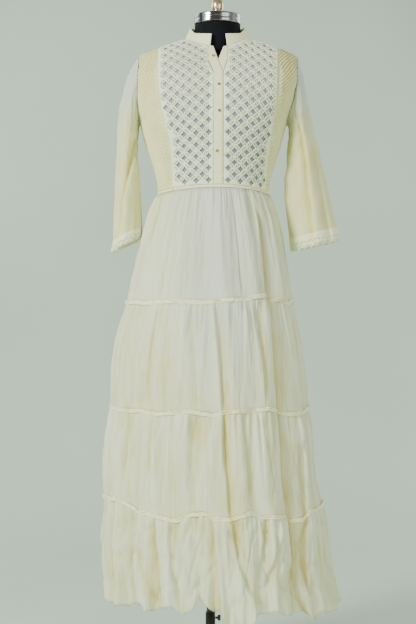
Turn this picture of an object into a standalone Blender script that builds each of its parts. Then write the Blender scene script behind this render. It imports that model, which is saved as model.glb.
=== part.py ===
"""Anarkali gown on a limbless dress form: the cloth as thin walls, the form and its stand as solids."""

import math

import bmesh
import bpy
import numpy as np
from mathutils import Vector

# Frame: metres, +Z up, front towards -Y, origin on the floor under the stand's pole.
# Angles run from 0 at the front, through 90 at +X, to 180 at the back.
CENTRE_X = 0.0175
SEAM = 0.0004
CLOTH = 0.0018
LACE = 0.0012
LINING_OUT = -0.0017
LINING_IN = -0.0029
LINING_TUCK = 0.0020
UNDER_OUT = 0.0012
OVER_IN = 0.0017
OVER_OUT = 0.0029
COLLAR_WALL = 0.0018
FRONT_SEAM = 89.3
BACK_SEAM = 90.6

# Bodice sections: half widths each side of the centre front line, depths, roundness.
BODICE = (
    # z, left, right, front, back, power
    (1.1700, 0.1470, 0.1280, 0.1060, 0.0920, 2.05),
    (1.2040, 0.1440, 0.1240, 0.1030, 0.0880, 2.05),
    (1.2500, 0.1540, 0.1350, 0.1080, 0.0900, 2.10),
    (1.3000, 0.1720, 0.1510, 0.1220, 0.0980, 2.20),
    (1.3400, 0.1830, 0.1620, 0.1320, 0.1040, 2.30),
    (1.3700, 0.1900, 0.1710, 0.1350, 0.1080, 2.40),
    (1.4200, 0.2030, 0.1930, 0.1280, 0.1130, 2.55),
    (1.4700, 0.2070, 0.2060, 0.1120, 0.1130, 2.50),
    (1.5050, 0.2010, 0.2030, 0.0920, 0.1070, 2.30),
    (1.5230, 0.1920, 0.1950, 0.0790, 0.0990, 2.10),
    (1.5370, 0.1660, 0.1700, 0.0680, 0.0920, 2.00),
    (1.5470, 0.1410, 0.1450, 0.0600, 0.0850, 2.00),
    (1.5570, 0.1090, 0.1110, 0.0500, 0.0760, 2.00),
    (1.5660, 0.0785, 0.0785, 0.0360, 0.0640, 2.00),
)

# Skirt sections from the waist to the hem.
SKIRT = (
    # z, left, right, front, back, power
    (1.2040, 0.1420, 0.1220, 0.1030, 0.0880, 2.05),
    (1.1380, 0.1640, 0.1450, 0.1200, 0.1080, 2.05),
    (1.0525, 0.1880, 0.1640, 0.1400, 0.1320, 2.05),
    (0.9790, 0.2070, 0.1750, 0.1530, 0.1480, 2.05),
    (0.9250, 0.2180, 0.1830, 0.1630, 0.1580, 2.05),
    (0.8320, 0.2420, 0.1990, 0.1820, 0.1750, 2.05),
    (0.7585, 0.2520, 0.2090, 0.1920, 0.1860, 2.05),
    (0.6700, 0.2540, 0.2190, 0.2000, 0.1940, 2.05),
    (0.5870, 0.2670, 0.2310, 0.2120, 0.2050, 2.05),
    (0.5010, 0.2700, 0.2370, 0.2200, 0.2120, 2.05),
    (0.4375, 0.2670, 0.2500, 0.2250, 0.2160, 2.05),
    (0.3420, 0.2720, 0.2620, 0.2330, 0.2240, 2.05),
    (0.2685, 0.2710, 0.2710, 0.2390, 0.2300, 2.05),
    (0.1800, 0.2650, 0.2900, 0.2460, 0.2360, 2.05),
)

# Heights of the skirt's seams, how far each drops at the sides, and its tilt to +X.
SEAM_LINES = (
    # z, side_drop, tilt
    (1.2010, 0.0120, 0.0000),
    (0.9250, 0.0000, 0.0000),
    (0.6700, 0.0000, 0.0030),
    (0.4375, 0.0000, 0.0095),
)

# The hem's height round the gown.
HEM = (
    # angle, z
    (-180.0, 0.1900),
    (-165.0, 0.1840),
    (-150.0, 0.1960),
    (-135.0, 0.1860),
    (-118.0, 0.1970),
    (-104.0, 0.1900),
    (-89.0, 0.1984),
    (-70.0, 0.2040),
    (-50.0, 0.2194),
    (-38.0, 0.2342),
    (-35.0, 0.2150),
    (-30.0, 0.2259),
    (-20.0, 0.2327),
    (-15.0, 0.2200),
    (-9.5, 0.2520),
    (-5.0, 0.2310),
    (0.5, 0.2260),
    (4.0, 0.1940),
    (9.2, 0.1880),
    (15.0, 0.1960),
    (18.5, 0.2200),
    (27.0, 0.2168),
    (34.0, 0.2069),
    (43.0, 0.2116),
    (48.5, 0.1830),
    (53.0, 0.2000),
    (65.0, 0.1906),
    (89.0, 0.1745),
    (104.0, 0.1860),
    (120.0, 0.1780),
    (135.0, 0.1890),
    (150.0, 0.1800),
    (166.0, 0.1910),
    (180.0, 0.1900),
)

# Long folds that run through all tiers.
FOLDS = (
    # angle, drift, half_width, height
    (-84.0, -3.0, 8.0, 0.011),
    (-62.0, 2.0, 7.0, 0.017),
    (-47.0, -2.0, 5.0, -0.010),
    (-33.0, 1.0, 7.0, 0.016),
    (-9.0, 17.0, 5.0, -0.016),
    (6.0, 5.0, 7.0, 0.024),
    (22.0, -2.0, 4.0, -0.010),
    (31.0, -2.0, 6.0, 0.020),
    (40.0, -3.0, 4.5, -0.015),
    (54.0, -3.0, 7.0, 0.017),
    (80.0, 0.0, 6.0, -0.009),
    (99.0, 3.0, 8.0, 0.015),
    (124.0, -3.0, 9.0, 0.018),
    (143.0, 2.0, 6.0, -0.011),
    (160.0, 2.0, 8.0, 0.019),
    (181.0, -2.0, 6.0, -0.012),
    (200.0, 3.0, 9.0, 0.018),
    (224.0, -2.0, 8.0, 0.012),
    (243.0, 2.0, 6.0, -0.012),
    (258.0, 0.0, 7.0, 0.014),
)
WAVES = 18
COLUMNS = 72
GATHERS = (
    # share of the tier's height, gather height on the upper tiers, on the hem tier
    (0.00, 0.0008, 0.0008),
    (0.14, 0.0050, 0.0050),
    (0.52, 0.0034, 0.0052),
    (1.00, 0.0016, 0.0090),
)
WAIST_BAND = 0.0070

# Lace, side-front and centre edges, measured from the centre front line.
LACE_EDGE = (
    # z, left, right
    (1.1700, 0.1080, 0.1150),
    (1.2300, 0.1082, 0.1175),
    (1.2700, 0.1100, 0.1215),
    (1.3320, 0.1190, 0.1285),
    (1.3910, 0.1340, 0.1355),
    (1.4500, 0.1410, 0.1410),
    (1.5000, 0.1430, 0.1445),
    (1.5460, 0.1440, 0.1470),
)
LACE_CENTRE_LEFT = ((1.170, -0.0100), (1.468, -0.0100), (1.497, -0.0226), (1.560, -0.0226))
LACE_CENTRE_RIGHT = ((1.170, 0.0135), (1.468, 0.0135), (1.500, 0.0240), (1.560, 0.0250))
LINING_CENTRE_LEFT = ((1.170, 0.0010), (1.495, 0.0010), (1.560, -0.0190))
LINING_CENTRE_RIGHT = ((1.170, 0.0016), (1.495, 0.0016), (1.560, 0.0220))
OVER_LEFT = ((1.170, -0.0097), (1.468, -0.0097), (1.497, -0.0222), (1.560, -0.0222))
OVER_RIGHT = ((1.170, 0.0116), (1.468, 0.0116), (1.502, 0.0002), (1.560, -0.0175))
UNDER_LEFT = ((1.170, -0.0060), (1.470, -0.0060), (1.501, 0.0008), (1.560, 0.0226))
UNDER_RIGHT = ((1.170, 0.0130), (1.468, 0.0130), (1.500, 0.0235), (1.560, 0.0245))
GAP_PITCH_X = 0.02955
GAP_PITCH_V = 0.0142
GAP_TIP_X = 0.0074
GAP_TIP_V = 0.0070
GAP_MARGIN = 1.38
LACE_SPAN = 0.0165

# Armhole loops: on each side, from underarm to shoulder point.
ARM_LOW = 1.3590
ARM_HIGH = 1.5230
ARM_DEPTH = 0.0580
SLEEVE_SIDES = 20

# Neck opening and stand collar.
NECK_SIDE = 0.0785
NECK_FRONT = 0.0680
NECK_BACK = 0.0640
COLLAR_TOP_SIDE = 0.0655
COLLAR_TOP_FRONT = 0.0645
COLLAR_TOP_BACK = 0.0622
COLLAR_HEIGHT_FRONT = 0.0245
COLLAR_HEIGHT_SIDE = 0.0310
COLLAR_HEIGHT_BACK = 0.0370
COLLAR_LEFT_FRONT = -0.0175
COLLAR_RIGHT_FRONT = 0.0225

# Sleeve rings below the armhole, measured from the centre front line.
SLEEVE_LEFT = (
    # outer_x, outer_z, inner_x, inner_z, depth, back_shift
    (-0.2130, 1.4900, -0.1925, 1.3520, 0.0620, 0.000),
    (-0.2300, 1.4400, -0.1930, 1.3320, 0.0640, 0.002),
    (-0.2420, 1.3800, -0.1950, 1.3050, 0.0640, 0.004),
    (-0.2450, 1.3000, -0.1930, 1.2500, 0.0610, 0.006),
    (-0.2510, 1.2000, -0.1865, 1.1800, 0.0590, 0.008),
    (-0.2555, 1.0710, -0.1840, 1.1050, 0.0600, 0.009),
    (-0.2575, 1.0480, -0.1870, 1.0830, 0.0620, 0.009),
)
SLEEVE_RIGHT = (
    (0.2060, 1.4870, 0.1740, 1.3520, 0.0620, 0.000),
    (0.2160, 1.4370, 0.1745, 1.3320, 0.0640, 0.002),
    (0.2290, 1.3700, 0.1720, 1.3000, 0.0640, 0.004),
    (0.2470, 1.3000, 0.1680, 1.2500, 0.0630, 0.006),
    (0.2680, 1.2100, 0.1650, 1.1850, 0.0630, 0.008),
    (0.2940, 1.1030, 0.1780, 1.0760, 0.0660, 0.009),
    (0.2980, 1.0760, 0.1830, 1.0500, 0.0690, 0.009),
)
SLEEVE_FOLD = 0.0045

# Buttons on the closed front: place from the centre front line.
BUTTONS = ((-0.0105, 1.5090), (0.0024, 1.4370), (0.0036, 1.3740), (-0.0016, 1.2830))
BUTTON_RADIUS = 0.0033
BUTTON_HEIGHT = 0.0024

# Dress form sections, from the underside to the neck.
FORM = (
    # z, half_width, front, back, mid_x
    (0.8700, 0.1150, 0.0860, 0.0920, 0.0000),
    (0.8780, 0.1290, 0.0980, 0.1050, 0.0000),
    (0.9000, 0.1400, 0.1060, 0.1130, 0.0000),
    (0.9500, 0.1500, 0.1110, 0.1180, 0.0000),
    (1.0200, 0.1500, 0.1090, 0.1150, 0.0000),
    (1.1000, 0.1370, 0.1000, 0.1010, 0.0020),
    (1.1700, 0.1210, 0.0930, 0.0830, 0.0055),
    (1.2040, 0.1170, 0.0920, 0.0785, 0.0070),
    (1.2500, 0.1250, 0.0965, 0.0800, 0.0080),
    (1.3000, 0.1400, 0.1100, 0.0880, 0.0080),
    (1.3400, 0.1500, 0.1200, 0.0940, 0.0080),
    (1.3700, 0.1560, 0.1230, 0.0980, 0.0090),
    (1.4200, 0.1680, 0.1160, 0.1020, 0.0130),
    (1.4700, 0.1740, 0.1000, 0.1010, 0.0165),
    (1.5000, 0.1750, 0.0820, 0.0930, 0.0175),
    (1.5192, 0.1720, 0.0600, 0.0850, 0.0175),
    (1.5332, 0.1580, 0.0400, 0.0780, 0.0175),
    (1.5432, 0.1392, 0.0250, 0.0700, 0.0175),
    (1.5532, 0.1082, 0.0220, 0.0620, 0.0175),
    (1.5622, 0.0779, 0.0180, 0.0500, 0.0175),
    (1.5720, 0.0500, 0.0180, 0.0450, 0.0175),
    (1.5820, 0.0480, 0.0280, 0.0450, 0.0175),
    (1.6020, 0.0480, 0.0280, 0.0450, 0.0175),
)
FORM_NECK = (0.0565, 0.0585, 0.0545)
FORM_NECK_LOW = 1.4900
FORM_SIDES = 28
NECK_Y = -0.0020
CAP_LOW = 1.6024
CAP_HIGH = 1.6260
CAP_RADIUS = 0.0572
FINIAL = ((0.0092, 1.6264), (0.0078, 1.6310), (0.0110, 1.6370), (0.0142, 1.6450), (0.0148, 1.6510),
          (0.0125, 1.6600), (0.0070, 1.6660), (0.0000, 1.6680))
POLE_RADIUS = 0.0095
TUBE_RADIUS = 0.0118
TUBE_BORE = 0.0099
TUBE_TOP = 0.1660
BASE_RADIUS = 0.1900
BASE_TOP = 0.0420
FLANGE_RADIUS = 0.0320
FLANGE = 0.0060
SCREW_Z = 0.1520

# Colours as linear values
CREAM = (0.74, 0.71, 0.57)
SHEER = (0.70, 0.69, 0.58)
WHITE = (0.82, 0.80, 0.72)
VEIL = (0.28, 0.32, 0.34)
BLACK = (0.010, 0.010, 0.012)


def smooth_columns(table):
    """Each column of a section table against height, eased through its rows."""
    rows = np.array(sorted(table))
    z = rows[:, 0]
    fine = np.linspace(z[0], z[-1], 1200)
    out = []
    for column in rows.T[1:]:
        slope = np.diff(column) / np.diff(z)
        tangent = np.zeros(len(z))
        for i in range(1, len(z) - 1):
            if slope[i - 1] * slope[i] > 0.0:
                tangent[i] = 2.0 * slope[i - 1] * slope[i] / (slope[i - 1] + slope[i])
        tangent[0] = slope[0]
        tangent[-1] = slope[-1]
        k = np.clip(np.searchsorted(z, fine, side="right") - 1, 0, len(z) - 2)
        h = z[k + 1] - z[k]
        t = (fine - z[k]) / h
        value = (
            (2 * t**3 - 3 * t**2 + 1) * column[k]
            + (t**3 - 2 * t**2 + t) * h * tangent[k]
            + (3 * t**2 - 2 * t**3) * column[k + 1]
            + (t**3 - t**2) * h * tangent[k + 1]
        )
        out.append(value)
    return fine, out


BODICE_Z, BODICE_COLUMNS = smooth_columns(BODICE)
SKIRT_Z, SKIRT_COLUMNS = smooth_columns(SKIRT)
FORM_Z, FORM_COLUMNS = smooth_columns(FORM)
EDGE_Z, EDGE_COLUMNS = smooth_columns(LACE_EDGE)


def bodice_at(z):
    return [float(np.interp(z, BODICE_Z, c)) for c in BODICE_COLUMNS]


def skirt_at(z):
    return [float(np.interp(z, SKIRT_Z, c)) for c in SKIRT_COLUMNS]


def ring_point(section, angle, z):
    """A point on a rounded section, in degrees from the front."""
    left, right, front, back, power = section
    s = math.sin(math.radians(angle))
    c = math.cos(math.radians(angle))
    side = right if s > 0.0 else -left
    depth = -front if c > 0.0 else back
    return Vector((CENTRE_X + side * abs(s) ** (2.0 / power), depth * abs(c) ** (2.0 / power), z))


def surface_point(at, angle, z, out):
    """A point of the cloth's surface moved out along its normal."""
    here = ring_point(at(z), angle, z)
    if out == 0.0:
        return here
    step = 0.6
    along = ring_point(at(z), angle + step, z) - ring_point(at(z), angle - step, z)
    rise = ring_point(at(z + 0.0015), angle, z + 0.0015) - ring_point(at(z - 0.0015), angle, z - 0.0015)
    return here + along.cross(rise).normalized() * out


def bodice_point(angle, z, out=0.0):
    return surface_point(bodice_at, angle, z, out)


def angle_of(x, z):
    """The angle at which the bodice's front has the offset x from the centre line."""
    left, right, front, back, power = bodice_at(z)
    side = right if x > 0.0 else left
    share = min(1.0, abs(x) / side)
    return math.copysign(math.degrees(math.asin(share ** (power / 2.0))), x)


def angle_past(x, z, distance):
    """The angle of the offset x, moved on round the body by a distance."""
    angle = angle_of(x, z)
    speed = (ring_point(bodice_at(z), angle + 0.5, z) - ring_point(bodice_at(z), angle - 0.5, z)).length
    return angle + math.copysign(1.0, x) * distance / speed


def edge_at(edge, z):
    return float(np.interp(z, [p[0] for p in edge], [p[1] for p in edge]))


def ridge_at(x):
    """Height of the shoulder line at the offset x."""
    column = BODICE_COLUMNS[1 if x > 0.0 else 0]
    high = BODICE_Z > 1.515
    return float(np.interp(-abs(x), -column[high], BODICE_Z[high]))


def neck_height(turn):
    """Height of the front neckline at a turn round the neck, in degrees from the front."""
    x = NECK_SIDE * math.sin(math.radians(turn))
    y = NECK_FRONT * math.cos(math.radians(turn))
    low = 1.50
    high = ridge_at(x)
    for _ in range(40):
        z = 0.5 * (low + high)
        deep = -bodice_point(angle_of(x, z), z).y
        if deep > y:
            low = z
        else:
            high = z
    return x, 0.5 * (low + high)


def waist_height(angle):
    z, drop, tilt = SEAM_LINES[0]
    return z - drop * math.sin(math.radians(angle)) ** 2


def material(name, colour, roughness, metallic=0.0):
    made = bpy.data.materials.new(name)
    made.use_nodes = True
    shader = made.node_tree.nodes["Principled BSDF"]
    shader.inputs["Base Color"].default_value = (*colour, 1.0)
    shader.inputs["Roughness"].default_value = roughness
    shader.inputs["Metallic"].default_value = metallic
    return made


def add_object(name, bm, skin, collection, smooth=True):
    bmesh.ops.recalc_face_normals(bm, faces=bm.faces)
    if bm.calc_volume(signed=True) < 0.0:
        bmesh.ops.reverse_faces(bm, faces=bm.faces)
    mesh = bpy.data.meshes.new(name)
    bm.to_mesh(mesh)
    bm.free()
    if smooth:
        mesh.shade_smooth()
        mesh.set_sharp_from_angle(angle=math.radians(50.0))
    mesh.materials.append(skin)
    made = bpy.data.objects.new(name, mesh)
    collection.objects.link(made)
    return made


def loft(name, inner, outer, skin, collection, ring=False):
    """A closed wall between two like grids of points, rows by columns."""
    bm = bmesh.new()
    layers = [[[bm.verts.new(p) for p in row] for row in grid] for grid in (inner, outer)]
    rows = len(inner)
    columns = len(inner[0])
    last = columns if ring else columns - 1
    for layer in layers:
        for i in range(rows - 1):
            for j in range(last):
                k = (j + 1) % columns
                bm.faces.new((layer[i][j], layer[i][k], layer[i + 1][k], layer[i + 1][j]))
    a, b = layers
    for i in (0, rows - 1):
        for j in range(last):
            k = (j + 1) % columns
            bm.faces.new((a[i][j], a[i][k], b[i][k], b[i][j]))
    if not ring:
        for j in (0, columns - 1):
            for i in range(rows - 1):
                bm.faces.new((a[i][j], a[i + 1][j], b[i + 1][j], b[i][j]))
    return add_object(name, bm, skin, collection)


def turned(name, profile, skin, collection, sides, centre=(0.0, 0.0)):
    """A turned solid from a profile of radius and height, top to bottom."""
    bm = bmesh.new()
    points = [bm.verts.new((r, 0.0, z)) for r, z in profile]
    for a, b in zip(points, points[1:]):
        bm.edges.new((a, b))
    mesh = bpy.data.meshes.new(name)
    bm.to_mesh(mesh)
    bm.free()
    mesh.materials.append(skin)
    made = bpy.data.objects.new(name, mesh)
    made.location = (centre[0], centre[1], 0.0)
    collection.objects.link(made)
    spin = made.modifiers.new("Turn", "SCREW")
    spin.steps = sides
    spin.render_steps = sides
    spin.use_merge_vertices = True
    spin.merge_threshold = 0.00005
    spin.use_smooth_shade = False
    return made


def blend(a, b, t):
    return a + (b - a) * t


def bodice_rows():
    """Heights shared by the panels and the sleeves: below the armhole, along it, and above."""
    half = SLEEVE_SIDES // 2
    middle = 0.5 * (ARM_LOW + ARM_HIGH)
    reach = 0.5 * (ARM_HIGH - ARM_LOW)
    low = [None, 1.212, 1.228, 1.252, 1.276, 1.300, 1.320, 1.340]
    arm = [middle - reach * math.cos(math.pi * k / half) for k in range(half + 1)]
    return low, arm


def arm_angle(side, face, z):
    """Angle of the armhole's edge on the front (face -1) or the back (face 1)."""
    middle = 0.5 * (ARM_LOW + ARM_HIGH)
    reach = 0.5 * (ARM_HIGH - ARM_LOW)
    share = min(1.0, abs(z - middle) / reach)
    y = ARM_DEPTH * math.sqrt(1.0 - share * share)
    left, right, front, back, power = bodice_at(z)
    depth = front if face < 0 else back
    off = math.degrees(math.asin(min(1.0, (y / depth) ** (power / 2.0))))
    seam = 90.0 - FRONT_SEAM if face < 0 else BACK_SEAM - 90.0
    return side * (90.0 + face * max(off, seam))


def build_back(skin, collection):
    low, arm = bodice_rows()
    heights = low[::3] + low[-1:] + arm + [1.537, 1.547, 1.557, 1.566]
    columns = 12
    inner = []
    outer = []
    for z in heights:
        in_row = []
        out_row = []
        for j in range(columns + 1):
            t = j / columns
            if z is None or z < ARM_LOW or z > ARM_HIGH:
                start = BACK_SEAM
            else:
                start = arm_angle(1.0, 1.0, z)
            other = 360.0 + (-BACK_SEAM if start == BACK_SEAM else arm_angle(-1.0, 1.0, z))
            angle = blend(start, other, t)
            height = z
            if z is None:
                height = waist_height(angle) + 0.5 * WAIST_BAND + SEAM
            in_row.append(bodice_point(angle, height, -CLOTH))
            out_row.append(bodice_point(angle, height, 0.0))
        inner.append(in_row)
        outer.append(out_row)
    return loft("back_bodice", inner, outer, skin, collection)


def lace_x(side, z):
    """The lace's outer edge from the centre front line."""
    return side * float(np.interp(z, EDGE_Z, EDGE_COLUMNS[0 if side < 0 else 1]))


def build_side_front(name, side, skin, collection):
    low, arm = bodice_rows()
    heights = low + arm
    columns = 4
    top_z = ridge_at(lace_x(side, 1.546))
    bottom = waist_height(side * 60.0)
    inner = []
    outer = []
    for z in heights:
        share = ((z or bottom) - bottom) / (ARM_HIGH - bottom)
        edge_z = blend(bottom, top_z, share)
        level = edge_z + (0.5 * WAIST_BAND + SEAM if z is None else 0.0)
        start = angle_past(lace_x(side, level), level, 0.0008)
        if share > 0.999:
            start = side * FRONT_SEAM
        end = side * FRONT_SEAM if z is None or z <= ARM_LOW or z >= ARM_HIGH else arm_angle(side, -1.0, z)
        in_row = []
        out_row = []
        for j in range(columns + 1):
            t = j / columns
            angle = blend(start, end, t)
            if z is None:
                height = waist_height(angle) + 0.5 * WAIST_BAND + SEAM
            else:
                height = blend(edge_z, z, t)
            in_row.append(bodice_point(angle, height, -CLOTH))
            out_row.append(bodice_point(angle, height, 0.0))
        inner.append(in_row)
        outer.append(out_row)
    return loft(name, inner, outer, skin, collection)


def build_lining(name, side, skin, collection):
    """The sheer wall behind the lace, from the centre front to the lace's side seam."""
    centre = LINING_CENTRE_LEFT if side < 0 else LINING_CENTRE_RIGHT
    columns = 6
    bottom = SEAM_LINES[0][0]
    neck_turns = [math.degrees(math.asin(abs(edge_at(centre, 1.536)) / NECK_SIDE)), 40.0, 62.0, 88.0]
    levels = (bottom, 1.217, 1.236, 1.264, 1.294, 1.325, 1.356, 1.390, 1.425, 1.460, 1.496)
    line = [(edge_at(centre, z), z) for z in levels]
    for turn in neck_turns:
        x, z = neck_height(turn)
        line.append((side * x, z))
    count = len(line)
    inner = []
    outer = []
    for i, (x, z) in enumerate(line):
        share = i / (count - 1)
        edge_z = blend(bottom, ridge_at(lace_x(side, 1.546)), share ** 1.05)
        edge_x = lace_x(side, edge_z)
        if i == count - 1:
            edge_z = ridge_at(edge_x - side * LINING_TUCK)
        far = side * FRONT_SEAM if i == count - 1 else angle_past(edge_x, edge_z, -LINING_TUCK)
        near = side * FRONT_SEAM if i == count - 1 else angle_of(x, z)
        in_row = []
        out_row = []
        for j in range(columns + 1):
            t = j / columns
            angle = blend(near, far, t)
            height = blend(z, edge_z, t)
            if i == 0:
                height = waist_height(angle) + 0.5 * WAIST_BAND + SEAM
            in_row.append(bodice_point(angle, height, LINING_IN))
            out_row.append(bodice_point(angle, height, LINING_OUT))
        inner.append(in_row)
        outer.append(out_row)
    return loft(name, inner, outer, skin, collection)


class Flat:
    """The front laid flat on one side: u runs round from the centre line, v up from the waist."""

    def __init__(self, side):
        self.side = side
        self.xs = [0.005 * k for k in range(32)]
        self.zs = np.linspace(1.180, 1.566, 150)
        self.rise = []
        for x in self.xs:
            low = waist_height(angle_of(side * x, 1.2010)) + 0.5 * WAIST_BAND + SEAM
            top = ridge_at(side * x)
            z = [top - (top - low) * (1.0 - i / 80.0) ** 2 for i in range(81)]
            y = [bodice_point(angle_of(side * x, h), h).y for h in z]
            length = np.concatenate(([0.0], np.cumsum(np.hypot(np.diff(z), np.diff(y)))))
            self.rise.append((np.array(z), length))
        self.round = []
        for z in self.zs:
            points = [ring_point(bodice_at(z), side * a, z) for a in range(91)]
            x = np.array([abs(p.x - CENTRE_X) for p in points])
            arc = np.concatenate(([0.0], np.cumsum([(q - p).length for p, q in zip(points, points[1:])])))
            ease = min(1.0, max(0.0, (z - 1.495) / 0.040))
            self.round.append((x, blend(arc, x, ease * ease * (3.0 - 2.0 * ease))))

    def u(self, x, z):
        k = min(len(self.zs) - 2, max(0, int(np.searchsorted(self.zs, z)) - 1))
        t = (z - self.zs[k]) / (self.zs[k + 1] - self.zs[k])
        pair = [np.interp(abs(x), *self.round[i]) for i in (k, k + 1)]
        return float(blend(pair[0], pair[1], t))

    def x(self, u, z):
        k = min(len(self.zs) - 2, max(0, int(np.searchsorted(self.zs, z)) - 1))
        t = (z - self.zs[k]) / (self.zs[k + 1] - self.zs[k])
        pair = [np.interp(u, self.round[i][1], self.round[i][0]) for i in (k, k + 1)]
        return float(blend(pair[0], pair[1], t))

    def across(self, x):
        k = min(len(self.xs) - 2, int(abs(x) / 0.005))
        return k, (abs(x) - self.xs[k]) / 0.005

    def v(self, x, z):
        k, t = self.across(x)
        pair = [np.interp(z, *self.rise[i]) for i in (k, k + 1)]
        return float(blend(pair[0], pair[1], t))

    def flat(self, x, z):
        return self.u(x, z), self.v(x, z)

    def place(self, u, v):
        """The offset x and height of a flat point."""
        x = u
        z = 1.4
        for _ in range(12):
            k, t = self.across(x)
            pair = [np.interp(v, self.rise[i][1], self.rise[i][0]) for i in (k, k + 1)]
            z = float(blend(pair[0], pair[1], t))
            x = blend(x, self.x(u, z), 0.8)
        return self.side * x, z


def inside(point, outline):
    x, y = point
    hit = False
    for (ax, ay), (bx, by) in zip(outline, outline[1:] + outline[:1]):
        if (ay > y) != (by > y) and x < (bx - ax) * (y - ay) / (by - ay) + ax:
            hit = not hit
    return hit


def lace_outline(side, laid):
    """The lace's outline, laid flat, from the waist up the centre edge and back down the side."""
    centre = LACE_CENTRE_LEFT if side < 0 else LACE_CENTRE_RIGHT
    neck_start = math.degrees(math.asin(abs(edge_at(centre, 1.536)) / NECK_SIDE))
    neck = [neck_height(blend(neck_start, 86.0, k / 5.0)) for k in range(6)]
    levels = [1.2180 + 0.0165 * k for k in range(15)] + [1.468, 1.483, 1.498, 1.514]
    edge = [(edge_at(centre, z), z) for z in levels]
    edge += [(side * x, z) for x, z in neck]
    flat = [laid.flat(x, z) for x, z in edge]
    shoulder = abs(lace_x(side, 1.546))
    for k in range(1, 6):
        x = blend(NECK_SIDE - 0.0004, shoulder - 0.0004, k / 5.0)
        z = ridge_at(side * x)
        flat.append((laid.u(x, z), laid.v(x, z) - 0.0008))
    flat += [laid.flat(lace_x(side, z), z) for z in [blend(1.5320, 1.2100, k / 20.0) for k in range(21)]]
    first = laid.u(edge_at(centre, 1.2010), 1.2010)
    last = laid.u(lace_x(side, 1.2010), 1.2010)
    flat += [(blend(last, first, k / 9.0), 0.0) for k in range(10)]
    return flat


def build_lace(name, side, skin, collection):
    laid = Flat(side)
    outline = lace_outline(side, laid)
    start = 0.0215 if side < 0 else 0.0250
    loops = [outline]
    for j in range(32):
        v = 0.0100 + GAP_PITCH_V * j
        for i in range(7):
            u = start + GAP_PITCH_X * (i + (0.5 if j % 2 else 0.0))
            wide = [(GAP_TIP_X, 0.0), (0.0, GAP_TIP_V), (-GAP_TIP_X, 0.0), (0.0, -GAP_TIP_V)]
            if all(inside((u + GAP_MARGIN * a, v + GAP_MARGIN * b), outline) for a, b in wide):
                loops.append([(u + a, v + b) for a, b in wide])
    flat = bmesh.new()
    edges = []
    for loop in loops:
        points = [flat.verts.new((u, v, 0.0)) for u, v in loop]
        edges += [flat.edges.new(pair) for pair in zip(points, points[1:] + points[:1])]
    bmesh.ops.triangle_fill(flat, use_beauty=True, use_dissolve=False, edges=edges, normal=(0.0, 0.0, 1.0))
    for _ in range(2):
        long_edges = [e for e in flat.edges if len(e.link_faces) == 2 and e.calc_length() > LACE_SPAN]
        bmesh.ops.subdivide_edges(flat, edges=long_edges, cuts=1)
        bmesh.ops.triangulate(flat, faces=flat.faces[:], quad_method="BEAUTY", ngon_method="BEAUTY")
    flat.verts.index_update()
    inner = []
    outer = []
    for vert in flat.verts:
        x, z = laid.place(vert.co.x, vert.co.y)
        angle = angle_of(x, z)
        inner.append(bodice_point(angle, z, 0.0))
        outer.append(bodice_point(angle, z, LACE))
    faces = [[v.index for v in f.verts] for f in flat.faces]
    border = [[v.index for v in e.verts] for e in flat.edges if len(e.link_faces) == 1]
    flat.free()
    bm = bmesh.new()
    a = [bm.verts.new(p) for p in inner]
    b = [bm.verts.new(p) for p in outer]
    for face in faces:
        bm.faces.new([a[k] for k in face])
        bm.faces.new([b[k] for k in face])
    for p, q in border:
        bm.faces.new((a[p], a[q], b[q], b[p]))
    return add_object(name, bm, skin, collection)


def build_strip(name, left, right, low_out, high_out, skin, collection, top_gap):
    """A front strip between two edges, from the waist to the neckline."""
    heights = [None, 1.230, 1.257, 1.283, 1.311, 1.335, 1.355, 1.374, 1.395, 1.416, 1.437, 1.468, 1.483]
    heights += [1.498, 1.509, "top"]
    inner = []
    outer = []
    for z in heights:
        in_row = []
        out_row = []
        for j in range(3):
            level = 1.536 if z == "top" else (1.201 if z is None else z)
            x = blend(edge_at(left, level), edge_at(right, level), j / 2.0)
            height = z
            if z is None:
                height = waist_height(0.0) + 0.5 * WAIST_BAND + SEAM
            elif z == "top":
                turn = math.degrees(math.asin(abs(x) / NECK_SIDE))
                height = neck_height(turn)[1] - top_gap
            angle = angle_of(x, height)
            in_row.append(bodice_point(angle, height, low_out))
            out_row.append(bodice_point(angle, height, high_out))
        inner.append(in_row)
        outer.append(out_row)
    return loft(name, inner, outer, skin, collection)


def build_collar(skin, collection):
    """The stand collar, from its right front corner round the back to its left one."""
    first = math.degrees(math.asin(COLLAR_RIGHT_FRONT / NECK_SIDE))
    last = 360.0 + math.degrees(math.asin(COLLAR_LEFT_FRONT / NECK_SIDE))
    count = 26
    inner = []
    outer = []
    for row in range(3):
        share = row / 2.0
        in_row = []
        out_row = []
        for j in range(count + 1):
            turn = blend(first, last, j / count)
            s = math.sin(math.radians(turn))
            c = math.cos(math.radians(turn))
            if c > 0.02:
                base = neck_height(math.degrees(math.asin(abs(s))))[1]
                rise = blend(COLLAR_HEIGHT_SIDE, COLLAR_HEIGHT_FRONT, c * c)
            else:
                base = 1.5660
                rise = blend(COLLAR_HEIGHT_SIDE, COLLAR_HEIGHT_BACK, c * c)
            side = blend(NECK_SIDE, COLLAR_TOP_SIDE, share)
            if c > 0.0:
                deep = blend(NECK_FRONT, COLLAR_TOP_FRONT, share)
            else:
                deep = blend(NECK_BACK, COLLAR_TOP_BACK, share)
            z = base + 0.0019 + rise * share
            out_row.append(Vector((CENTRE_X + side * s, -deep * c, z)))
            in_row.append(Vector((CENTRE_X + (side - COLLAR_WALL) * s, -(deep - COLLAR_WALL) * c, z)))
        inner.append(in_row)
        outer.append(out_row)
    return loft("collar", inner, outer, skin, collection)


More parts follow.
